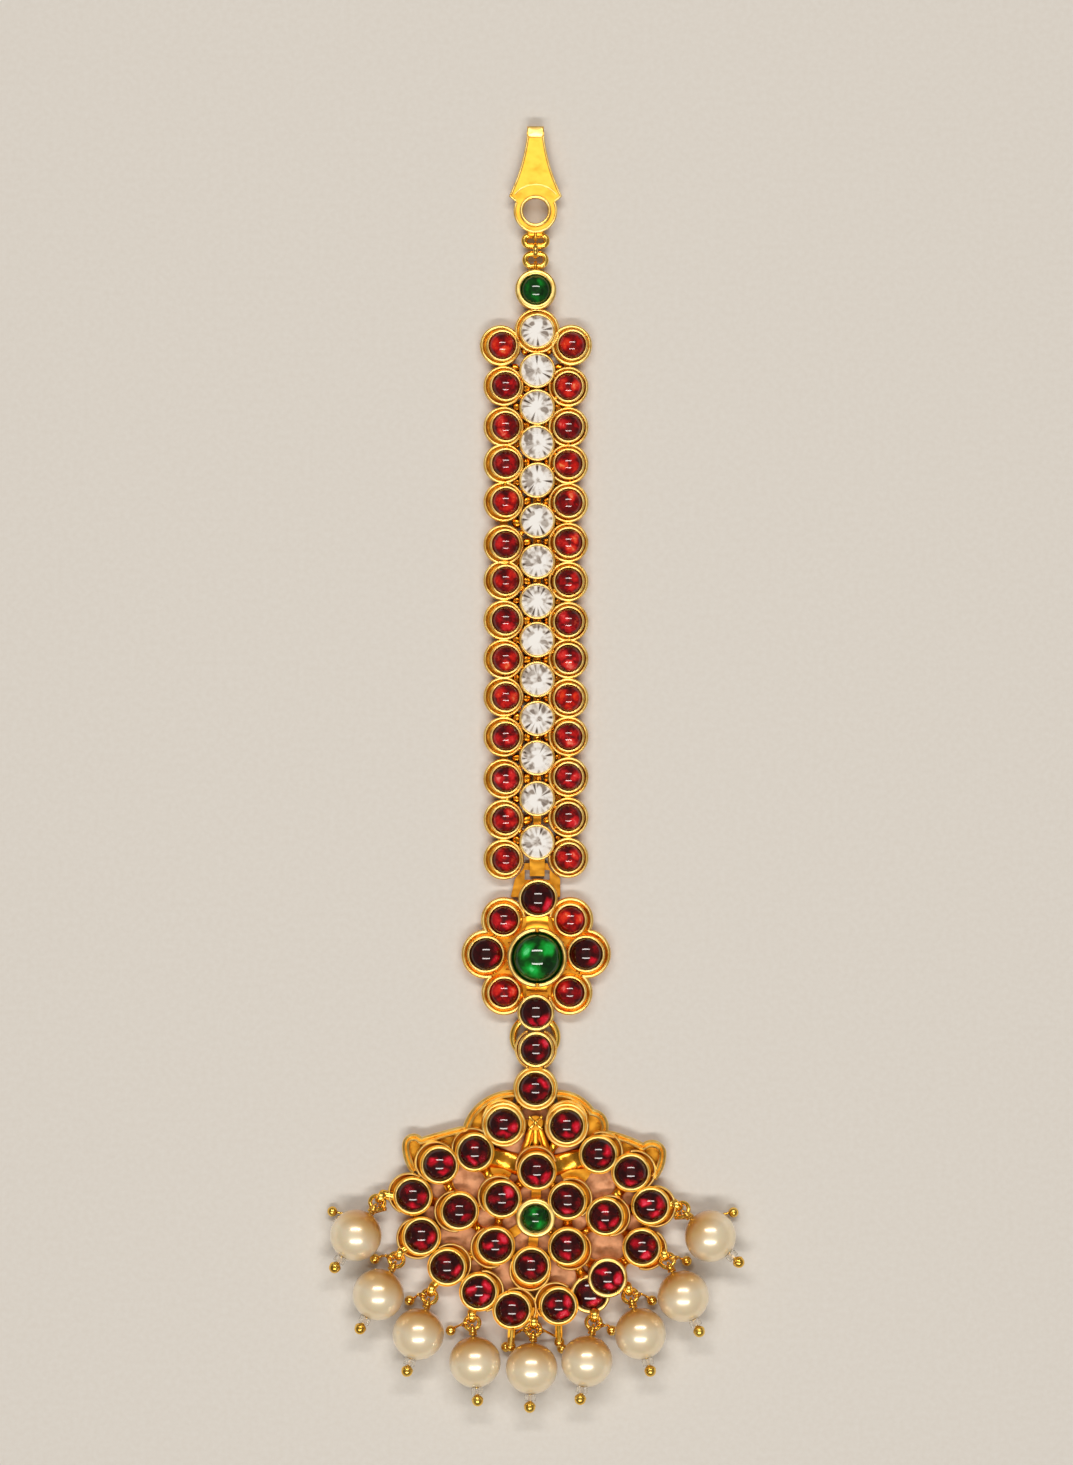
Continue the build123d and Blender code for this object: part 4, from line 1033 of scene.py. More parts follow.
# %% Large collar
COLLAR_HALF = 0.27
COLLAR_TALL = 0.24
COLLAR_Z = 2.98
COLLAR_OUT = 0.26  # from the stone's edge to the collar's middle line
SPLIT = 0.05
collar = Shape()
collar_r = FLOWER_GREEN.radius + COLLAR_OUT
reach = (SPLIT + COLLAR_HALF) / collar_r
for start in (math.pi / 2, -math.pi / 2):
    path = circle(cx, cy, COLLAR_Z, collar_r, start + reach, start + math.pi - reach)
    sweep(collar, path, COLLAR_HALF, COLLAR_TALL, False, WIRE_SIDES)
piece(collar, "flower_green_collar", PALE_HIGHLIGHT_GOLD)

# %% [markdown]
# ## The fan's edge
# The fan's upper plates are edged with two wires side by side, bent in a few easy arcs. Three
# points fix each arc, its two ends and one on the way, and the second wire is the same line
# moved sideways. A free curve would need more points and wouldn't keep the two apart.

# %% Fan edge wires
LEFT_EDGE = (
    ((-2.3, -37.9), (-5.7, -38.8), (-8.1, -42.0)),
    ((-8.1, -42.0), (-11.0, -42.75), (-13.4, -43.45)),
    ((-13.4, -43.45), (-14.7, -43.15), (-15.1, -43.9)),
    ((-15.1, -43.9), (-14.95, -45.2), (-14.1, -46.9)),
)
RIGHT_EDGE = (
    ((2.3, -37.9), (4.9, -38.5), (6.6, -40.1)),
    ((6.6, -40.1), (8.0, -41.2), (7.9, -42.5)),
    ((7.9, -42.5), (10.5, -43.2), (12.6, -44.15)),
    ((12.6, -44.15), (14.2, -43.9), (14.8, -44.7)),
    ((14.8, -44.7), (14.7, -45.8), (13.8, -47.6)),
)
EDGE_HALF = 0.21
EDGE_TALL = 0.34
EDGE_Z = 1.62
EDGE_GAP = 0.25  # from the edge's middle line to each wire's
EDGE_STEPS = 14  # in each arc


def three_point_arc(start, through, end, z, steps):
    """Points on the round arc from start to end that passes a third point."""
    (ax, ay), (bx, by), (cx, cy) = start, through, end
    spread = 2 * (ax * (by - cy) + bx * (cy - ay) + cx * (ay - by))
    a2, b2, c2 = ax * ax + ay * ay, bx * bx + by * by, cx * cx + cy * cy
    x = (a2 * (by - cy) + b2 * (cy - ay) + c2 * (ay - by)) / spread
    y = (a2 * (cx - bx) + b2 * (ax - cx) + c2 * (bx - ax)) / spread
    radius = math.hypot(ax - x, ay - y)
    first = math.atan2(ay - y, ax - x)
    middle = (math.atan2(by - y, bx - x) - first) % math.tau
    last = (math.atan2(cy - y, cx - x) - first) % math.tau
    turn = last if middle < last else last - math.tau
    angles = [first + turn * k / steps for k in range(steps + 1)]
    return [Vector((x + radius * math.cos(a), y + radius * math.sin(a), z)) for a in angles]


def beside(path, offset):
    """The same level path, moved sideways to its left."""
    moved = []
    for i, point in enumerate(path):
        along = path[min(i + 1, len(path) - 1)] - path[max(i - 1, 0)]
        left = Vector((-along.y, along.x, 0)).normalized()
        moved.append(point + left * offset)
    return moved


edge_wires = Shape()
for edge in (LEFT_EDGE, RIGHT_EDGE):
    line = []
    for arc in edge:
        line += three_point_arc(*arc, EDGE_Z, EDGE_STEPS)[1 if line else 0 :]
    for offset in (-EDGE_GAP, EDGE_GAP):
        sweep(edge_wires, beside(line, offset), EDGE_HALF, EDGE_TALL)
piece(edge_wires, "fan_edge_wires", PALE_HIGHLIGHT_GOLD)

# %% [markdown]
# ## Second rings of the fan's cups
# Round cups leave gaps, and the maker closes them with larger bent rings that stand a little
# off centre from their cups, mostly towards the fan's edge. Pressed metal fills the crescent
# between cup and ring. Placed by hand they lean every way, so a seeded draw turns each a
# little. The three cups at the top and the single link cup have rings of their own.

# %% Second rings of the fan's cups
HUB = at_height(FAN_GREEN.middle)
HUB_REACH = 6  # cups nearer to the hub than this always face outwards
TOP_CUPS_Y = -40.0  # the cups above this have no half ring
LOWER_ROWS_Y = -57.0  # below this the second rings face the middle line instead of outwards
LOWER_LEAN = 0.45
SECOND_SHIFT = 0.5
SECOND_R = 2.32
SECOND_HALF = 0.18
SECOND_TALL = 0.34
FAN_DISH_INNER = 1.2
FAN_DISH_Z = 1.45


def facing(stone):
    """The way that a second ring is shifted from its cup."""
    away = at_height(stone.middle) - HUB
    if stone.middle.y < LOWER_ROWS_Y and away.length > HUB_REACH:
        return LOWER_LEAN if stone.middle.x < 0 else math.pi - LOWER_LEAN
    return math.atan2(away.y, away.x)


second_rings = Shape()
fan_dishes = Shape()
ring_draw = random.Random(71)
for stone in [stone for stone in FAN_ROWS if stone.middle.y <= TOP_CUPS_Y]:
    heading = facing(stone) + ring_draw.uniform(-0.35, 0.35)
    x = stone.middle.x + SECOND_SHIFT * math.cos(heading)
    y = stone.middle.y + SECOND_SHIFT * math.sin(heading)
    half_turn = ring_draw.uniform(1.35, 1.75)
    height = ring_draw.uniform(1.65, 1.85)
    path = circle(x, y, height, SECOND_R, heading - half_turn, heading + half_turn)
    sweep(second_rings, path, SECOND_HALF, SECOND_TALL, False, WIRE_SIDES)
    dish(fan_dishes, x, y, FAN_DISH_INNER, SECOND_R, FAN_DISH_Z)
print("second rings have", len(second_rings.points), "points so far")

# %% Rings of the top cups and the link cup
TOP_RING_R = 2.42
TOP_RING_HALF = 0.2
TOP_RING_TALL = 0.28
TOP_RING_Z = 1.82
BOW_OUT = 0.5  # from the link stone's edge to the middle line of the bow beside it
BOW_TURN = 1.1  # how far a bow reaches round the cup, each way
BOW_HALF = 0.17
BOW_TALL = 0.3
BOW_Z = 2.1
for stone in FAN_OUTER[:3]:
    whole = circle(stone.middle.x, stone.middle.y, TOP_RING_Z, TOP_RING_R)
    sweep(second_rings, whole, TOP_RING_HALF, TOP_RING_TALL, True, WIRE_SIDES)
x, y = LINK.middle.xy
for heading in (0.0, math.pi):
    bow = circle(x, y, BOW_Z, LINK.radius + BOW_OUT, heading - BOW_TURN, heading + BOW_TURN)
    sweep(second_rings, bow, BOW_HALF, BOW_TALL, False, WIRE_SIDES)
piece(second_rings, "fan_second_rings", PALE_HIGHLIGHT_GOLD)
piece(fan_dishes, "fan_pressed_dishes", FLOWER_METAL)

# %% [markdown]
# ## The fan's back sheet
# A thin sheet of copper closes the fan's back between the cups. No buff reaches down there, so
# the gold on it stays thin and matt and keeps the rosy tone of the copper, and painted shade
# darkens it where the cups' feet stand near. The sheet is made as rings of points that run in
# from the outermost cups' middles to the green stone, with the slight unevenness of a sheet
# flattened by hand.

# %% Back sheet
# Its last colour is painted shade where the cups' feet stand near.
MATT_GILT = plated_gold(
    "thin_matt_gilt_on_copper_sheet", "#DCA47C", "#AC7450", 0.5, 0.2, "#4A1206"
)
SHEET_LOW = 0.2
SHEET_TOP = 0.36
SHEET_RINGS = 22
SHEET_STEPS = 8  # points between one outer cup and the next
RIPPLE = 0.035  # how far the sheet's face rises and falls


def straight(start, end, steps):
    """Evenly spaced points of a straight line."""
    return [start.lerp(end, k / steps) for k in range(steps + 1)]


def round_the_hub(place):
    """The direction of a place, seen from the hub."""
    return math.atan2(place.y - HUB.y, place.x - HUB.x)


def sheet_ring(share, low=None):
    """The outline drawn in towards the hub, level at low or else on the uneven upper face."""
    ring = []
    for edge in outline:
        place = HUB.lerp(edge, share)
        ripple = RIPPLE * math.sin(1.3 * place.x + 0.7) * math.cos(1.1 * place.y)
        place.z = SHEET_TOP + ripple if low is None else low
        ring.append(place)
    return ring


corners = sorted([at_height(stone.middle) for stone in FAN_OUTER + [SUNK, HIGH]], key=round_the_hub)
outline = []
for corner, after in zip(corners, corners[1:] + corners[:1]):
    outline += straight(corner, after, SHEET_STEPS)[:-1]
sheet = Shape()
lower = [[at_height(HUB, SHEET_LOW)], sheet_ring(0.5, SHEET_LOW), sheet_ring(1.0, SHEET_LOW)]
upper = [sheet_ring(k / SHEET_RINGS) for k in range(SHEET_RINGS, 0, -1)]
sheet.skin([*lower, *upper, [at_height(HUB, SHEET_TOP)]])
piece(sheet, "fan_back_sheet", MATT_GILT)

# %% [markdown]
# ## Solder
# Where two cups touch, a drop of hard solder has run in and set with a shine, and a flatter
# pool fills the corner between three cups. They are the little amber lights between the rows.
# Each is a turned ball that is flattened and not quite round, between stones whose middles are
# near each other, so a search finds every such place. Set out by hand they would take hundreds
# of coordinates.

# %% Solder drops
BALL_STEPS = 7
DROP_FLAT = 0.7
POOL_FLAT = 0.45


def ball_profile(radius, flat):
    """(radius, height) points of a ball, from its bottom to its top, flattened in height."""
    angles = [math.pi * k / BALL_STEPS for k in range(BALL_STEPS + 1)]
    points = [(radius * math.sin(a), -radius * flat * math.cos(a)) for a in angles]
    return [(0, points[0][1]), *points[1:-1], (0, points[-1][1])]


def solder_between(shape, draw, stones, reach, height):
    """Sets a drop between each two stones whose middles are nearer than reach."""
    for i, first in enumerate(stones):
        for second in stones[i + 1 :]:
            a, b = first.middle, second.middle
            gap = math.hypot(a.x - b.x, a.y - b.y)
            if gap > reach:
                continue
            share = first.radius / (first.radius + second.radius)
            x = a.x + (b.x - a.x) * share + draw.uniform(-0.2, 0.2)
            y = a.y + (b.y - a.y) * share + draw.uniform(-0.2, 0.2)
            size = draw.uniform(0.28, 0.46)
            z = height + draw.uniform(-0.15, 0.1)
            uneven = draw.uniform(0.05, 0.2)
            place = Vector((x, y, z))
            revolve(shape, ball_profile(size, DROP_FLAT), place, 12, None, False, uneven, gap * 7)


def solder_pools(shape, draw, stones, reach, size, height=0.75):
    """Fills the three-cornered gap between each three stones that are all near each other."""
    for i, first in enumerate(stones):
        near = [s for s in stones[i + 1 :] if (first.middle - s.middle).xy.length < reach]
        for j, second in enumerate(near):
            for third in near[j + 1 :]:
                if (second.middle - third.middle).xy.length > reach:
                    continue
                middle = (first.middle + second.middle + third.middle) / 3
                place = at_height(middle, height + draw.uniform(-0.1, 0.1))
                profile = ball_profile(size * draw.uniform(0.85, 1.1), POOL_FLAT)
                revolve(shape, profile, place, 20, None, False, 0.1, middle.y)


# %% Every drop of solder
solder = Shape()
solder_draw = random.Random(81)
solder_between(solder, solder_draw, RUBIES_LEFT + RUBIES_RIGHT + WHITES, 4.75, 1.35)
solder_between(solder, solder_draw, PETAL_STONES[:-1] + [FLOWER_GREEN], 5.6, 1.4)
solder_between(solder, solder_draw, FAN_ROWS + [FAN_GREEN], 5.2, 1.5)
solder_pools(solder, solder_draw, RUBIES_LEFT + WHITES, 5.4, 0.6)
solder_pools(solder, solder_draw, RUBIES_RIGHT + WHITES, 5.4, 0.6)
solder_pools(solder, solder_draw, FAN_ROWS + [FAN_GREEN], 5.2, 0.7)
piece(solder, "solder_drops", SOLDER_METAL)

# %% [markdown]
# ## Solder bridges of the fan
# The cups of the fan are joined by short bars, and the solder that holds them has flowed along:
# it is narrow in the middle and climbs the cups with a flare at both ends. Each bridge is a row
# of oval rings whose width and height grow towards its ends.

# %% Solder bridges
UP = Vector((0, 0, 1))
BRIDGE_STEPS = 14
BRIDGE_SIDES = 20
BRIDGE_FROM = 2.05  # from a stone's middle to the bridge's end, inside the cup's wall
BRIDGE_WIDE = 0.95  # half a bridge's width at its ends
BRIDGE_TALL = 0.42  # half its height in the middle, as a share of its full height
BRIDGE_CLIMB = 0.25  # how much that share grows up the cups
BRIDGE_LOW = 0.05
NEAREST, FARTHEST = 4.5, 6.35  # stones that are this far apart, middle to middle, are bridged


def solder_bridge(shape, first, second, narrow, wide, height):
    """A bridge between two cups, flared and higher towards each of them."""
    along = (second - first).normalized()
    side = Vector((along.y, -along.x, 0))
    start = first + along * BRIDGE_FROM
    end = second - along * BRIDGE_FROM
    rings = []
    for k in range(BRIDGE_STEPS + 1):
        flare = (2 * k / BRIDGE_STEPS - 1) ** 2
        half_width = narrow + (wide - narrow) * flare
        half_height = height * (BRIDGE_TALL + BRIDGE_CLIMB * flare)
        place = start.lerp(end, k / BRIDGE_STEPS) + Vector((0, 0, half_height + BRIDGE_LOW))
        rings.append(oval(place, side, half_width, UP, half_height, BRIDGE_SIDES))
    shape.skin([[start + UP * (height / 2)], *rings, [end + UP * (height / 2)]])


bridges = Shape()
bridge_draw = random.Random(91)
cups = [at_height(stone.middle) for stone in FAN_ROWS + [SUNK, HIGH]]
for i, first in enumerate(cups):
    for second in cups[i + 1 :]:
        if NEAREST < (first - second).length < FARTHEST:
            narrow = bridge_draw.uniform(0.4, 0.62)
            height = bridge_draw.uniform(0.95, 1.15)
            solder_bridge(bridges, first, second, narrow, BRIDGE_WIDE, height)
upper = max(FAN_INNER, key=lambda stone: stone.middle.y)
for cup in cups:
    if cup.y > -46 and abs(cup.x) > 5:  # the two outer cups level with the upper inner one
        solder_bridge(bridges, cup, at_height(upper.middle), 1.2, 1.3, 1.0)
piece(bridges, "fan_solder_bridges", SOLDER_METAL)

# %% [markdown]
# ## The boss under the top stone
# A tiny cast boss sits in the fan's open field: four leaves set crosswise round a bead. Each
# leaf is a ball that is drawn out along its own line, so the metal swells and narrows as in a
# casting.

# %% Cast boss
BOSS = Vector((0.0, -41.3, 1.85))
LEAF_STEPS = 7
LEAF_FROM = 0.2  # from the boss's middle to the leaf's first point
LEAF_STEP = 0.13
LEAF_WAVE = 0.05
LEAF_HALF = 0.2
LEAF_TALL = 0.24
BEAD_R = 0.3
BEAD_LIFT = 0.16
boss = Shape()
for quarter in range(4):
    angle = math.pi / 4 + quarter * math.pi / 2
    outward = Vector((math.cos(angle), math.sin(angle), 0))
    leaf = []
    for k in range(LEAF_STEPS):
        wave = Vector((0, 0, LEAF_WAVE * math.sin(k)))
        leaf.append(BOSS + outward * (LEAF_FROM + LEAF_STEP * k) + wave)
    sweep(boss, leaf, LEAF_HALF, LEAF_TALL, sides=10)
revolve(boss, ball_profile(BEAD_R, 0.9), BOSS + Vector((0, 0, BEAD_LIFT)), 20)
piece(boss, "fan_cast_boss", POLISHED_WIRE)

# %% [markdown]
# ## The struts below the boss
# Three short struts carry the boss and run down to the cups below it. They are offcuts of
# thick flattened wire, close together at the boss and spread at their feet, so each is an oval
# section along a straight line.

# %% Struts below the boss
STRUT_FEET = ((-1.55, -45.4), (0.0, -45.0), (1.6, -45.4))
STRUT_FOOT_Z = 0.9
STRUT_SPREAD = 0.3  # how far apart the struts' heads are, as a share of their feet
STRUT_HALF = 0.42
STRUT_TALL = 0.3
struts = Shape()
for x, y in STRUT_FEET:
    head = BOSS + Vector((x * STRUT_SPREAD, -0.5, -0.6))
    line = straight(head, Vector((x, y, STRUT_FOOT_Z)), 12)
    sweep(struts, line, STRUT_HALF, STRUT_TALL)
piece(struts, "fan_boss_struts", CUP_METAL)

# %% [markdown]
# ## The pearls' nacre
# Nine cream pearls hang below the fan. Their lustre comes from within: light passes a few
# layers of nacre before it returns, which softens every highlight. The pearly layer reflects
# partly as metal does, a little light travels under the skin, and a clearer coat over that
# rougher base gives the double look. A painted reflection of the gold turns the cream golden
# towards the drilled end that faces the fan, a soft cloud changes the tone at random, and
# faint ridges keep the shine from being perfect.

# %% Nacre
CLOUDS = 1.3  # soft changes of tone along a pearl's radius, so each is about 2.3 millimetres
RIDGES = 5.0  # fine unevenness along a radius, so each is 0.6 millimetres
RIDGE_DEPTH = 0.1 * MM
UNDER_SKIN = 0.6 * MM
# from the painted golden reflection of the gold to plain cream
CREAM_AND_GOLD_REFLECTION = [
    (0.0, "#B8701E"), (0.12, "#CE8E38"), (0.3, "#E4BA78"), (0.6, "#FDEBCB"), (1.0, "#FAE4BC"),
]

NACRE, tree = new_material("cream_nacre")
where = node(tree, "Attribute", {}, attribute_name="on_stone").outputs["Vector"]
lot = node(tree, "Attribute", {}, attribute_name="lot").outputs["Fac"]
along = node(tree, "SeparateXYZ", {"Vector": where}).outputs["Z"]
depth = node(tree, "Math", {0: lot, 1: 53.0}, operation="MULTIPLY")
sockets = {"Vector": where, "W": depth, "Scale": CLOUDS, "Detail": 2.0}
cloud = node(tree, "TexNoise", sockets, noise_dimensions="4D")
# painted reflection: golden towards the drilled end that faces the fan, over a random cloud of tone
cloud_and_reflection = node(tree, "Math", {0: cloud, 1: 0.35, 2: along}, operation="MULTIPLY_ADD")
cloud_and_reflection_fac = node(tree, "MapRange", {"Value": cloud_and_reflection, "From Min": -0.9, "From Max": 1.1})
cream_and_reflection = node(tree, "ValToRGB", {"Fac": cloud_and_reflection_fac}, CREAM_AND_GOLD_REFLECTION)
sockets = {"Vector": where, "W": depth, "Scale": RIDGES, "Detail": 2.0}
ridges = node(tree, "TexNoise", sockets, noise_dimensions="4D")
skin = node(tree, "Bump", {"Height": ridges, "Strength": 0.06, "Distance": RIDGE_DEPTH})
nacre = node(
    tree, "BsdfPrincipled",
    {
        "Base Color": cream_and_reflection, "Roughness": 0.3, "Metallic": 0.28, "IOR": 1.66,
        "Subsurface Weight": 0.25, "Subsurface Radius": (1.0, 0.7, 0.45),
        "Subsurface Scale": UNDER_SKIN, "Coat Weight": 1.0, "Coat Roughness": 0.17,
        "Coat IOR": 1.66, "Normal": skin,
    },
)
node(tree, "OutputMaterial", {"Surface": nacre})
print(NACRE.name, "has", len(tree.nodes), "nodes")

# %% [markdown]
# ## The clear tubes
# A short tube of clear plastic sits between each pearl and the ball at its end. It has gone
# slightly milky, so it lets most of the light through and carries the gold behind it. A fine
# haze changes its roughness from place to place, which plain clear plastic wouldn't have.

# %% Clear tube
HAZE = 0.5 * MM
CLEAR_TUBE, tree = new_material("milky_clear_tube")
place = node(tree, "NewGeometry", {})
haze = node(tree, "TexNoise", {"Vector": place, "Scale": 1 / HAZE, "Detail": 2.0})
rough = node(tree, "MapRange", {"Value": haze, "To Min": 0.12, "To Max": 0.3})
milk = node(tree, "ValToRGB", {"Fac": haze}, [(0.3, "#F6EEE0"), (0.7, "#FCF9F2")])
sockets = {"Base Color": milk, "Roughness": rough, "Transmission Weight": 0.7, "IOR": 1.49}
tube = node(tree, "BsdfPrincipled", sockets)
node(tree, "OutputMaterial", {"Surface": tube})
print(CLEAR_TUBE.name, "has", len(tree.nodes), "nodes")

# %% [markdown]
# ## One pearl drop
# A drop is threaded: a gold ball stops the pin's outer end, then come a short clear tube and
# the pearl, and at the inner end the wire is wound round itself and bent to a loop. An oval
# ring joins that loop to an eye on the fan. The frame gives the pearl's middle and the tube's
# middle, and the line between them is the pin's, so every part of a drop follows from those.

# %% Where a drop lies
LUG_Z = 1.6
LUG_FROM_PEARL = 5.22
Drop = namedtuple("Drop", ("number", "heart", "outward", "turn", "inward", "across", "lug"))


def drop_place(number):
    """A drop's heart, the way its pin points, and where its eye on the fan is."""
    low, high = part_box(f"pearl_{number}")
    heart = (low + high) / 2 / MM
    tube_low, tube_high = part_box(f"spacer_tube_{number}")
    outward = ((tube_low + tube_high) / 2 / MM - heart).normalized()
    turn = outward.to_track_quat("Z", "Y").to_matrix()
    inward = Vector((-outward.x, -outward.y, 0)).normalized()
    across = Vector((-inward.y, inward.x, 0))
    lug = at_height(heart, LUG_Z) + inward * LUG_FROM_PEARL
    return Drop(number, heart, outward, turn, inward, across, lug)


print("the first drop's pearl is at", [round(side, 1) for side in drop_place(1).heart], "mm")

# %% [markdown]
# ## The pearls
# An imitation pearl is very nearly round, and its two drilled ends are a little sunk where the
# coat runs into the hole. So it is turned, with a dimple at both ends and hardly any
# unevenness. A plain ball would show no drilled end where the pin goes in.

# %% A pearl
PEARL_R = 3.01  # a hair under the frame's pearls, so that unevenness never stands out
PEARL_STEPS = 40
DIMPLE_R = 0.42
DIMPLE_DEPTH = 0.12
HOLE_DEPTH = 0.14
PEARL_SIDES = 72
PEARL_UNEVEN = 0.004
pearl_draw = random.Random(91)


def pearl_profile():
    """(radius, height) points of a pearl whose drilled ends are a little sunk."""
    points = []
    for k in range(1, PEARL_STEPS):
        angle = math.pi * k / PEARL_STEPS
        reach = PEARL_R * math.sin(angle)
        sunk = DIMPLE_DEPTH * max(0.0, 1 - reach / DIMPLE_R)
        points.append((reach, -math.cos(angle) * (PEARL_R - sunk)))
    return [(0, -PEARL_R + HOLE_DEPTH), *points, (0, PEARL_R - HOLE_DEPTH)]


def add_pearl(drop):
    """A pearl with its drilled ends on the pin's line."""
    pearl = Shape()
    profile, phase = pearl_profile(), drop.number * 1.7
    revolve(pearl, profile, drop.heart, PEARL_SIDES, drop.turn, False, PEARL_UNEVEN, phase)
    pearl.mark(0, drop.heart, PEARL_R, pearl_draw.random(), drop.turn)
    piece(pearl, f"nacre_pearl_{drop.number}", NACRE, [f"pearl_{drop.number}"])


# %% A clear tube
TUBE_R = 0.68
TUBE_BORE = 0.3
TUBE_BEVEL = 0.06
TUBE_LENGTH = 0.75
TUBE_NEAR = PEARL_R + 0.03
TUBE_FAR = TUBE_NEAR + TUBE_LENGTH


def add_tube(drop):
    """A short tube outside the pearl, with its edges broken."""
    tube = Shape()
    walls = [
        (TUBE_BORE, TUBE_NEAR),
        (TUBE_R - TUBE_BEVEL, TUBE_NEAR),
        (TUBE_R, TUBE_NEAR + TUBE_BEVEL),
        (TUBE_R, TUBE_FAR - TUBE_BEVEL),
        (TUBE_R - TUBE_BEVEL, TUBE_FAR),
        (TUBE_BORE, TUBE_FAR),
    ]
    revolve(tube, walls, drop.heart, 36, drop.turn, True)
    name, stands_for = f"clear_tube_{drop.number}", f"spacer_tube_{drop.number}"
    piece(tube, name, CLEAR_TUBE, [stands_for])


# %% [markdown]
# ## The eyes at the fan's edge
# Each drop hangs from a thick eye on a short neck, soldered to the nearest cup. The eye is
# turned from an oval section, and the neck is a straight piece of the same thick wire. The
# frame has thin lugs there, and these clad them.

# %% An eye on the fan
EYE_R = 0.6
EYE_HALF = 0.24
EYE_HALF_WIDTH = 0.45
NECK_HALF = 0.5
NECK_FROM_CUP = 2.1
lug_eyes = Shape()


def add_eye(drop):
    """A thick eye at the fan's edge, on a neck from the nearest cup."""
    section = []
    for angle in round_angles(16):
        section.append((EYE_R + EYE_HALF * math.cos(angle), EYE_HALF_WIDTH * math.sin(angle)))
    eye_turn = drop.across.to_track_quat("Z", "Y").to_matrix()
    revolve(lug_eyes, section, drop.lug, 28, eye_turn, True)
    cups = FAN_ROWS + [HIGH, SUNK]
    cup = min(cups, key=lambda stone: (stone.middle.xy - drop.lug.xy).length)
    reach = at_height(cup.middle) - at_height(drop.lug)
    neck_end = drop.lug + reach * (1 - NECK_FROM_CUP / reach.length)
    neck = straight(drop.lug + drop.inward * EYE_HALF_WIDTH, neck_end, 8)
    sweep(lug_eyes, neck, NECK_HALF, NECK_HALF, False, WIRE_SIDES)


# %% [markdown]
# ## The oval rings
# An oval ring of round wire goes through the eye and through the loop of the pin, so both
# places give its length and its direction, and it stays closed as if it were soldered.

# %% An oval ring
RING_WIRE = 0.25
RING_HALF_WIDTH = 0.84
PIN_LOOP_AT = 3.76


def add_ring(drop):
    """The oval ring from the eye on the fan to the pin's loop."""
    loop = drop.heart - drop.outward * PIN_LOOP_AT
    along = (loop - drop.lug).normalized()
    half = (loop - drop.lug).length / 2
    line = oval((drop.lug + loop) / 2, along, half, drop.across, RING_HALF_WIDTH, 36)
    ring = Shape()
    sweep(ring, line, RING_WIRE, None, True, WIRE_SIDES)
    name, stands_for = f"drop_ring_{drop.number}", f"pearl_ring_{drop.number}"
    piece(ring, name, POLISHED_WIRE, [stands_for])


# %% [markdown]
# ## The ends of the pins
# The outer end of each pin is stopped by a gold ball with a small collar, sunk in the middle
# where the pin was filed off. At the inner end the wire is wound round the pin in a tight coil
# beside the pearl. The ball is turned, and the coil is a section run along a helix.

# %% An end ball and a winding
END_BALL = (
    (0, -0.6), (0.3, -0.58), (0.56, -0.36), (0.665, -0.2), (0.7, -0.1), (0.69, 0.0), (0.62, 0.06),
    (0.6, 0.16), (0.5, 0.38), (0.33, 0.55), (0.2, 0.61), (0.14, 0.6), (0.11, 0.5), (0, 0.46),
)  # radii and heights of a ball with a soldered collar, sunk where the pin's end was filed
END_BALL_AT = 0.64  # from the tube's end to the ball's middle
PIN_R = 0.24
WINDING_WIRE = 0.14
WINDING_TURNS = 2.6
WINDING_STEPS = 20  # in each turn
WINDING_PITCH = 2.05  # from one turn to the next, in half widths of the wire
end_balls = Shape()
windings = Shape()


def add_end_ball(drop):
    """The ball that stops the pin's outer end."""
    stop = drop.heart + drop.outward * (TUBE_FAR + END_BALL_AT)
    revolve(end_balls, END_BALL, stop, 32, drop.turn)


def add_winding(drop):
    """The wire wound round the pin between the pearl and the loop."""
    coil = []
    reach = PIN_R + WINDING_WIRE * 0.9
    first = -PEARL_R - 0.1 - 0.3 * WINDING_WIRE
    for k in range(int(WINDING_TURNS * WINDING_STEPS) + 1):
        angle = math.tau * k / WINDING_STEPS
        height = first - k / WINDING_STEPS * WINDING_PITCH * WINDING_WIRE
        local = Vector((reach * math.cos(angle), reach * math.sin(angle), height))
        coil.append(drop.heart + drop.turn @ local)
    sweep(windings, coil, WINDING_WIRE, sides=8)


# %% Thread the nine drops
DROPS = 9
for number in range(1, DROPS + 1):
    drop = drop_place(number)
    for add_part in (add_pearl, add_tube, add_eye, add_ring, add_end_ball, add_winding):
        add_part(drop)
piece(windings, "pin_windings", POLISHED_WIRE)
piece(lug_eyes, "fan_lug_eyes", POLISHED_WIRE)
piece(end_balls, "pin_end_balls", POLISHED_WIRE)

# %% [markdown]
# ## Posts under the two lowest cups
# The two lowest cups of the fan each carry a short post with a ball at its end. A post is thick
# wire, so it is an oval section run along a line that leans a little, and the ball is turned.

# %% Posts under the two lowest cups
POST_STEPS = 9
POST_HALF = 0.44
POST_TALL = 0.46
POST_Z = 1.5
POST_BALL_R = 0.62
POST_FROM_CUP = 2.25
POST_STEP = 0.24
posts = Shape()
for stone in sorted(FAN_OUTER, key=lambda stone: stone.middle.y)[:2]:
    x, y = stone.middle.xy
    lean = -0.06 if x < 0 else 0.03
    line = []
    for k in range(POST_STEPS):
        line.append(Vector((x + lean * k / 3, y - POST_FROM_CUP - POST_STEP * k, POST_Z)))
    sweep(posts, line, POST_HALF, POST_TALL, sides=16)
    revolve(posts, ball_profile(POST_BALL_R, 0.85), line[-1] + Vector((0, -0.1, -0.05)), 24)
piece(posts, "fan_posts", POLISHED_WIRE)

# %% [markdown]
# ## The hook's raised edges
# The hook's blade is stamped from sheet, and the stamp leaves a low round ridge along both
# edges, a bow above the disc and a ring round the hole. The frame has the sheet, and these are
# ridges of wire section, half sunk in its face.

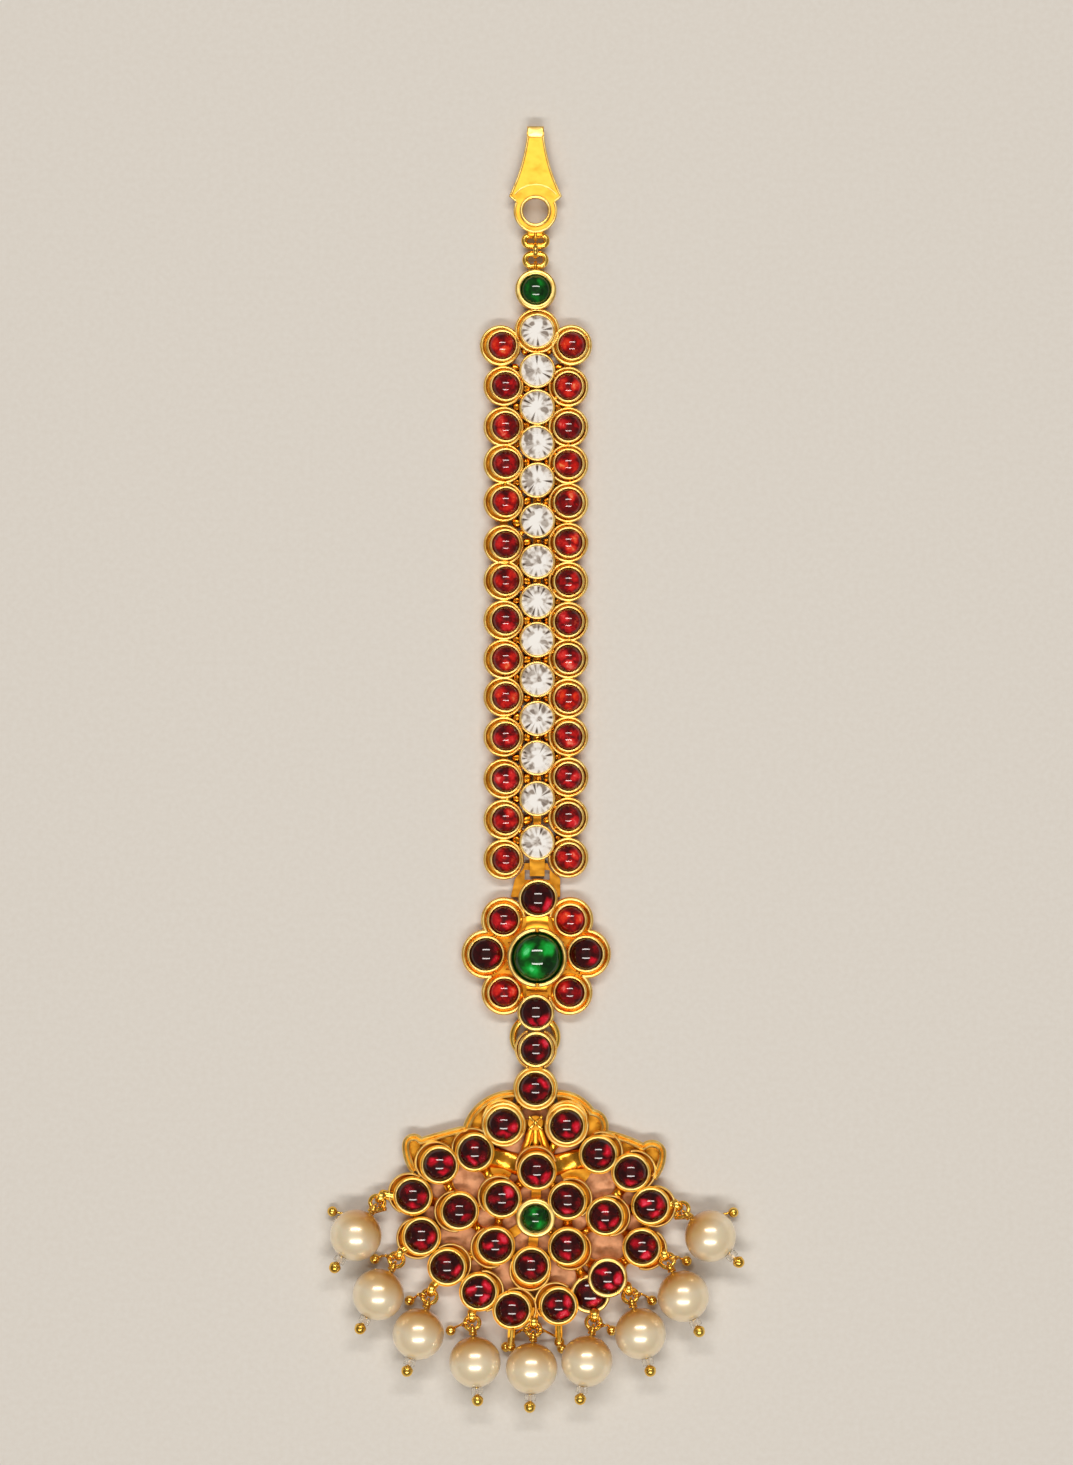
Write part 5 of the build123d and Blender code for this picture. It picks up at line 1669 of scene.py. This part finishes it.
# %% Ridges of the blade
FACE_Z = 2.1
SUNK_IN = 0.02  # how deep the ridges' middle lines lie under the sheet's face
BLADE_SHOULDER = (0.98, 73.5)
BLADE_WAIST = (1.72, 70.0)
BLADE_TIP = (3.03, 66.7)
BLADE_NOTCH = (2.05, 65.9)
EDGE_INSET = 0.08
RIDGE = 0.14
RIDGE_TALL = 0.1
ridges = Shape()
for side in (-1, 1):
    edge = [(side * (x - EDGE_INSET), y) for x, y in (BLADE_SHOULDER, BLADE_WAIST, BLADE_TIP)]
    path = three_point_arc(*edge, FACE_Z - SUNK_IN, 40)
    notch = Vector((side * (BLADE_NOTCH[0] + 0.02), BLADE_NOTCH[1] + 0.08, FACE_Z - SUNK_IN))
    path += straight(path[-1], notch, 6)[1:]
    sweep(ridges, path, RIDGE, RIDGE_TALL)

# %% Ridges of the disc
HOLE = (0.0, 64.95)
HOLE_R = 1.47
HOLE_RING_OUT = 0.17
HOLE_RING_LIFT = 0.4
HOLE_RING_HALF = 0.19
HOLE_RING_TALL = 0.12
ARCH_R = 3.1
ARCH_HALF = 0.09
ARCH_TALL = 0.03
DISC_R = 2.5
DISC_INSET = 0.1
DISC_LIFT = 0.17
DISC_RIDGE = 0.15
round_hole = circle(*HOLE, FACE_Z + HOLE_RING_LIFT, HOLE_R + HOLE_RING_OUT)
sweep(ridges, round_hole, HOLE_RING_HALF, HOLE_RING_TALL, True, 16)
arch = circle(*HOLE, FACE_Z, ARCH_R, math.radians(40), math.radians(140))
sweep(ridges, arch, ARCH_HALF, ARCH_TALL)
start, end = math.radians(-202), math.radians(22)
edge = circle(*HOLE, FACE_Z + DISC_LIFT, DISC_R - DISC_INSET, start, end)
sweep(ridges, edge, DISC_RIDGE, RIDGE_TALL)
piece(ridges, "hook_ridges", PALE_HIGHLIGHT_GOLD)

# %% [markdown]
# ## Pressed bend and tab of the hook
# Where the hook's sheet turns back, and on the tab below its disc, the stamp has pressed a
# small raised field with rolled edges. Each is a rounded rectangle whose outline draws in as
# it rises, and it is tilted to lie on the sheet there.

# %% Pressed bend and tab of the hook
CUSHION_STEPS = 5  # up the rolled edge, and round each corner
CUSHION_CROWN = 0.03


def cushion(shape, middle, half_x, half_y, corner, edge, turn):
    """A rounded rectangle with a rolled edge and a barely domed top."""
    loops = []
    for step in range(CUSHION_STEPS + 1):
        angle = math.pi / 2 * step / CUSHION_STEPS
        inset = edge * (1 - math.cos(angle))
        loop = []
        for quarter, (sx, sy) in enumerate(((1, 1), (-1, 1), (-1, -1), (1, -1))):
            for k in range(CUSHION_STEPS + 1):
                turned = math.pi / 2 * (quarter + k / CUSHION_STEPS)
                x = sx * (half_x - corner) + (corner - inset) * math.cos(turned)
                y = sy * (half_y - corner) + (corner - inset) * math.sin(turned)
                loop.append(middle + turn @ Vector((x, y, edge * math.sin(angle))))
        loops.append(loop)
    loops.append([middle + turn @ Vector((0, 0, edge + CUSHION_CROWN))])
    shape.skin(loops)


# The pressed bend wears the rims' paler gold, a painted highlight.
for name, metal, middle, half_x, half_y, corner, edge, tilt in (
    ("hook_pressed_bend", PALE_HIGHLIGHT_GOLD, (0, 74.18, 1.9), 0.99, 0.7, 0.36, 0.18, -13),
    ("hook_tab", CUP_METAL, (0, 62.5, 1.62), 1.0, 0.52, 0.25, 0.24, 12),
):
    pressed = Shape()
    turn = Matrix.Rotation(math.radians(tilt), 3, "X")
    cushion(pressed, Vector(middle), half_x, half_y, corner, edge, turn)
    piece(pressed, name, metal)

# %% [markdown]
# ## The rings between hook and band
# Two broad rings and one small upright link join the hook to the band. They are bent from
# thick round wire, so little is left of their holes. The frame has them thinner, and these
# stand in for them with the same outline.

# %% Thick rings
CHAIN_Z = 1.2
BEND_STEPS = 16


def stadium(y, half_straight, radius):
    """A level ring about x = 0: two half circles joined by straights along X."""
    path = []
    for centre, start in ((half_straight, -math.pi / 2), (-half_straight, math.pi / 2)):
        for k in range(BEND_STEPS + 1):
            angle = start + math.pi * k / BEND_STEPS
            x = centre + radius * math.cos(angle)
            path.append(Vector((x, y + radius * math.sin(angle), CHAIN_Z)))
    return path


for name, y, half_straight, radius, wire in (
    ("hook_ring", 61.55, 0.705, 0.6, 0.36),
    ("band_ring", 59.3, 0.5, 0.71, 0.34),
):
    ring = Shape()
    sweep(ring, stadium(y, half_straight, radius), wire, None, True, 16)
    piece(ring, f"thick_{name}", POLISHED_WIRE, [name])

# %% Upright link
LINK_Y = 60.4
LINK_HALF_LENGTH = 0.76
LINK_HALF_HEIGHT = 0.78
LINK_WIRE = 0.27
upright = []
for angle in round_angles(32):
    y = LINK_Y + LINK_HALF_LENGTH * math.cos(angle)
    upright.append(Vector((0, y, CHAIN_Z + LINK_HALF_HEIGHT * math.sin(angle))))
link = Shape()
sweep(link, upright, LINK_WIRE, None, True, WIRE_SIDES)
piece(link, "thick_hook_link", POLISHED_WIRE, ["hook_link"])

# %% [markdown]
# ## Finish the frame's own parts
# The frame's plates, cups, links and wires keep their shape. Their faces are shaded smooth up
# to a real edge, and each gets the metal that suits how it was made: sheet for the hook,
# polished wire for links and rings, and soldered cup metal for the three plates.

# %% Materials on the frame
SMOOTH_BELOW = 35  # degrees between two faces that are shaded as one
FINISHES = {
    "hair_hook": SHEET_METAL,
    "band_frame": CUP_METAL,
    "flower_frame": FLOWER_METAL,
    "fan_frame": CUP_METAL,
}
for name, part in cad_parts.items():
    finish = FINISHES.get(name, POLISHED_WIRE)
    if not part.material_slots:
        part.data.materials.append(finish)
    for slot in part.material_slots:
        slot.material = finish
    part.data.shade_smooth()
    part.data.set_sharp_from_angle(angle=math.radians(SMOOTH_BELOW))
print(len(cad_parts), "nodes of the frame have their metal")

# %% [markdown]
# ## The finished size
# The finished jewel's size is printed, as the frame's was at the start. The finished jewel must
# stay inside the frame's box.

# %% Sizes and finish
low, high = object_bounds()
print("the finished jewel is", [round(side / MM, 1) for side in high - low], "mm")
